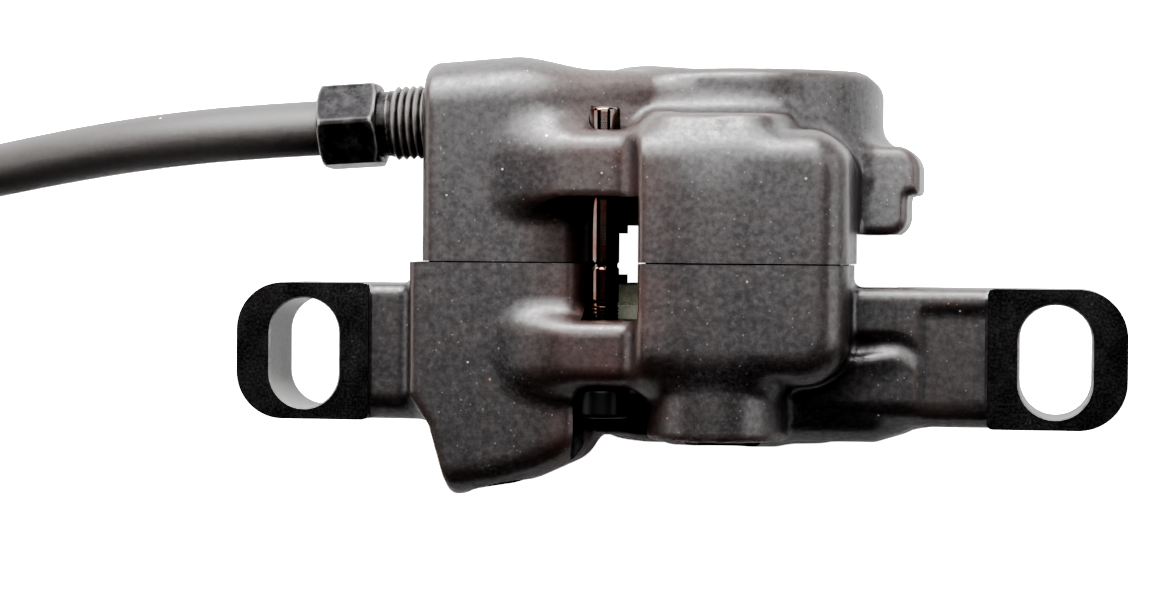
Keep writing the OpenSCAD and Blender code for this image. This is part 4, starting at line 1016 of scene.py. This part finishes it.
one = solid("one_bolt", *skin_of(bolt_form, (-4.3, -4.3, -5.4), (4.3, 4.3, 22.9), 0.24), black_steel)
edge_marks(one, bolt_form, 0.3)
threaded(one, black_steel, BOLT_R, 0.8, turns=22.0, start=4.4)
clamp_bolts = raw("clamp_bolts", BOLT_SEATS)
grown(clamp_bolts, spots_tree, Bolt=one, Material=black_steel)
discard(one)
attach(clamp_bolts, "caliper_body")
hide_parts("body_bolts")

# Pistons, seals and magnets.
# Two turned pistons slide in square-section rubber rings, one in each casting, and a magnet pressed into each
# one holds its pad. A rubber ring seals the fluid passage where the castings meet.
piston_metal = grained("piston_metal", (0.50, 0.50, 0.50), (0.62, 0.62, 0.61), 0.25, 0.4, metallic=1.0,
                       scale=2400.0, dent=0.01)
magnet_plate = grained("magnet", (0.44, 0.43, 0.41), (0.58, 0.57, 0.55), 0.18, 0.3, metallic=1.0,
                       scale=1900.0, dent=0.008)
painted(piston_metal, "upper_piston", "lower_piston")
painted(magnet_plate, "upper_magnet", "lower_magnet")
painted(seal_rubber, "upper_piston_seal", "lower_piston_seal", "crossover_seal")

# Pads.
# Each pad is a stamped steel plate with a sintered friction lining bonded to it. They drop into the pocket
# from the open side and show their front edges in the window.
# Both pad finishes are lighter than the pads' own olive grey: painted light, so their front edges read as lit
# in the shaded window.
pad_steel = grained("pad_steel", (0.48, 0.48, 0.42), (0.64, 0.63, 0.56), 0.4, 0.55, metallic=0.1,
                    scale=2200.0, dent=0.02, dust=0.06)
pad_lining = grained("pad_lining", (0.36, 0.36, 0.30), (0.56, 0.55, 0.46), 0.6, 0.85,
                     scale=1300.0, dent=0.09, dust=0.12, dust_colour=(0.32, 0.24, 0.15))
painted(pad_steel, "upper_pad_plate", "lower_pad_plate")
painted(pad_lining, "upper_pad_lining", "lower_pad_lining")

# Pad pin.
# A polished steel pin that keeps the pads in, screwed through the lower tab and plain at its far end, with a
# black socket head and a narrow groove where it crosses the joint.
PIN_R, PIN_HEAD, PIN_HEAD_R, PIN_HEAD_H, PIN_SOCKET, PIN_END = 1.5, -6.0, 2.6, 3.0, 1.25, 24.5


def pin_form(x, y, z):
    r = np.hypot(x, y)
    neck = np.where((z > 3.0) & (z < 5.4), 0.1, np.where(np.abs(z - 8.95) < 0.25, 0.15, 0.0))
    shaft = shared(round_edge(r - PIN_R + neck, z - PIN_END, 0.45), PIN_HEAD + 1.0 - z)
    head = round_edge(r - PIN_HEAD_R, np.abs(z - PIN_HEAD - PIN_HEAD_H / 2) - PIN_HEAD_H / 2, 0.4)
    return either(shaft, round_edge(head, -shared(hexagon(x, y, PIN_SOCKET), z - PIN_HEAD - 1.8), 0.1))


def pin_finish():
    """Drawn steel with fine rings round it and a black head; its dark tone is a painted reflection of dark
    surroundings, and its brownish patches a painted reddish reflection.
    """
    material, tree, shader, place = finish_material("pin_steel", (0.55, 0.52, 0.50), 0.2, 1.0)
    along = step_node(tree, "ShaderNodeSeparateXYZ", {"Vector": place})["Y"]
    rings = step_node(tree, "ShaderNodeTexNoise",
                      {"W": along, "Scale": 9000.0}, noise_dimensions="1D")["Fac"]
    stain = laid(tree, grain_group, place, Scale=420.0, Low=0.4, High=0.7)["Mask"]
    head = math_node(tree, "LESS_THAN", along, -2.9 * MM)
    # Dark and brownish steel tones: painted reflection, dark for the dark surroundings and brownish for the
    # reddish gleam, not the steel's own colour.
    colour = blend_colour(tree, stain, (0.13, 0.115, 0.11), (0.13, 0.07, 0.055))
    colour = blend_colour(tree, head, colour, (0.006, 0.0058, 0.006))
    fill(tree, shader, {"Base Color": colour, "Metallic": math_node(tree, "SUBTRACT", 1.0, head),
                        "Roughness": sum_of(tree, (rings, 0.12), (head, 0.2), plus=0.12)})
    bumped(tree, shader, rings, 0.3, 0.004)
    return material


pin_steel = pin_finish()
pin_corners, pin_faces = skin_of(pin_form, (-3.0, -3.0, -6.4), (3.0, 3.0, 24.9), 0.14)
retaining_pin = solid("retaining_pin", pin_corners, pin_faces, pin_steel)
threaded(retaining_pin, pin_steel, PIN_R, 0.35, turns=5.4, start=3.2)
stand_up(retaining_pin, (PIN_X, 0.0, PIN_Z), (0, 1, 0))
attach(retaining_pin, "caliper_body")
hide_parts("pad_pin")

# Bleed valve.
# A plated steel screw with a hexagon and a hose nipple, in the back of the upper casting's left block. A
# soft rubber cap is pushed over the nipple, and both turn together.
BLEED_AT = (BLEED_X, BLEED_Y, 0.0)
BLEED_CORE_R, BLEED_THREAD_R, BLEED_HEX_HALF, BLEED_BORE_R, BLEED_TIP = 1.8, 2.1, 3.0, 0.7, -11.1


def bleed_form(x, y, z):
    r = np.hypot(x, y)
    shank = shared(round_edge(r - BLEED_CORE_R, z - 0.3, 0.3), -4.5 - z)
    head = hex_head(x, y, z, BLEED_HEX_HALF, -7.1, -4.1)
    barb = 0.35 * np.clip((z - BLEED_TIP) / 1.6, 0, 1) * np.clip((-7.9 - z) / 0.4, 0, 1)
    nipple = shared(round_edge(r - 1.45 - barb, BLEED_TIP - z, 0.3), z + 7.0)
    return round_edge(either(shank, head, nipple), shared(BLEED_BORE_R - r, z + 1.5), 0.1)


bleed = solid("bleed_nipple", *skin_of(bleed_form, (-3.8, -3.8, -11.5), (3.8, 3.8, 0.7), 0.17), zinc_steel)
threaded(bleed, zinc_steel, BLEED_THREAD_R, 0.7, turns=5.4, start=-3.9)
stand_up(bleed, BLEED_AT, (0, 0, 1))
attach(bleed, "bleed_valve")
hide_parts("bleed_screw")

cap_section = [(0, -11.2), (1.9, -11.2), (1.9, -7.3), (2.0, -7.2), (2.9, -7.2), (3.05, -7.35), (3.05, -7.9),
               (2.9, -8.05), (2.7, -8.2), (2.6, -11.2), (2.45, -11.65), (2.1, -11.9), (1.6, -12.0),
               (0, -12.0)]
cap_corners, cap_faces = turned(cap_section, 48)
rubber_cap = solid("rubber_cap", cap_corners + np.array(BLEED_AT), cap_faces, seal_rubber)
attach(rubber_cap, "bleed_valve")
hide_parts("bleed_cap")

# Floor and light.
# A plain pale table and backdrop that are white to the camera alone. A large soft light stands over the
# caliper's upper edge, with weaker ones above it and at its sides, and a low strip in front of it.
FLOOR_HALF, FLOOR_Z = 2000, -21.05
floor = raw("floor", [(-FLOOR_HALF, -FLOOR_HALF, FLOOR_Z), (FLOOR_HALF, -FLOOR_HALF, FLOOR_Z),
                      (FLOOR_HALF, FLOOR_HALF, FLOOR_Z), (-FLOOR_HALF, FLOOR_HALF, FLOOR_Z)],
            faces=[(0, 1, 2, 3)])
floor_paint, floor_tree, floor_shader, _ = finish_material("floor_paint", (0.8, 0.8, 0.8), 0.9)
fill(floor_tree, floor_shader, {
    "Emission Color": (1, 1, 1),
    "Emission Strength": step_node(floor_tree, "ShaderNodeLightPath", {})["Is Camera Ray"]})
floor.data.materials.append(floor_paint)
for name, at, towards, width, height, watts in (
        ("top_light", (-0.06, 0.20, 0.125), (-0.03, 0.01, 0.0), 0.28, 0.16, 1.4),
        ("overhead_light", (0.0, 0.145, 0.42), (0, 0.01, 0.0), 0.4, 0.2, 0.72),
        ("left_light", (-0.6, 0.05, 0.25), (0, 0, 0), 0.25, 0.4, 0.6),
        ("right_light", (0.45, 0.12, 0.2), (0, 0, 0), 0.5, 0.35, 1.1),
        ("front_light", (0.0, -0.45, 0.03), (0, 0, 0), 0.8, 0.05, 0.3)):
    lamp = bpy.data.lights.new(name, "AREA")
    lamp.shape = "RECTANGLE"
    lamp.size, lamp.size_y, lamp.energy = width, height, watts
    holder = bpy.data.objects.new(name, lamp)
    holder.location = at
    holder.rotation_euler = (Vector(towards) - Vector(at)).to_track_quat("-Z", "Y").to_euler()
    holder.visible_camera = False
    scene.collection.objects.link(holder)
sky = bpy.data.worlds.new("studio")
sky.use_nodes = True
sky_seen = step_node(sky.node_tree, "ShaderNodeLightPath", {})["Is Camera Ray"]
fill(sky.node_tree, sky.node_tree.nodes["Background"], {
    "Color": (0.8, 0.82, 0.85), "Strength": sum_of(sky.node_tree, (sky_seen, 1.25), plus=0.03)})
scene.world = sky
scene.view_settings.view_transform = "Standard"

# Contrast of the photo: blacks pressed down, middle tones lifted, highlights held back.
scene.view_settings.use_curve_mapping = True
tone = scene.view_settings.curve_mapping
for given, shown in ((0.02, 0.001), (0.045, 0.014), (0.08, 0.054), (0.127, 0.155), (0.27, 0.40),
                     (0.48, 0.55)):
    tone.curves[3].points.new(given, shown)
tone.update()
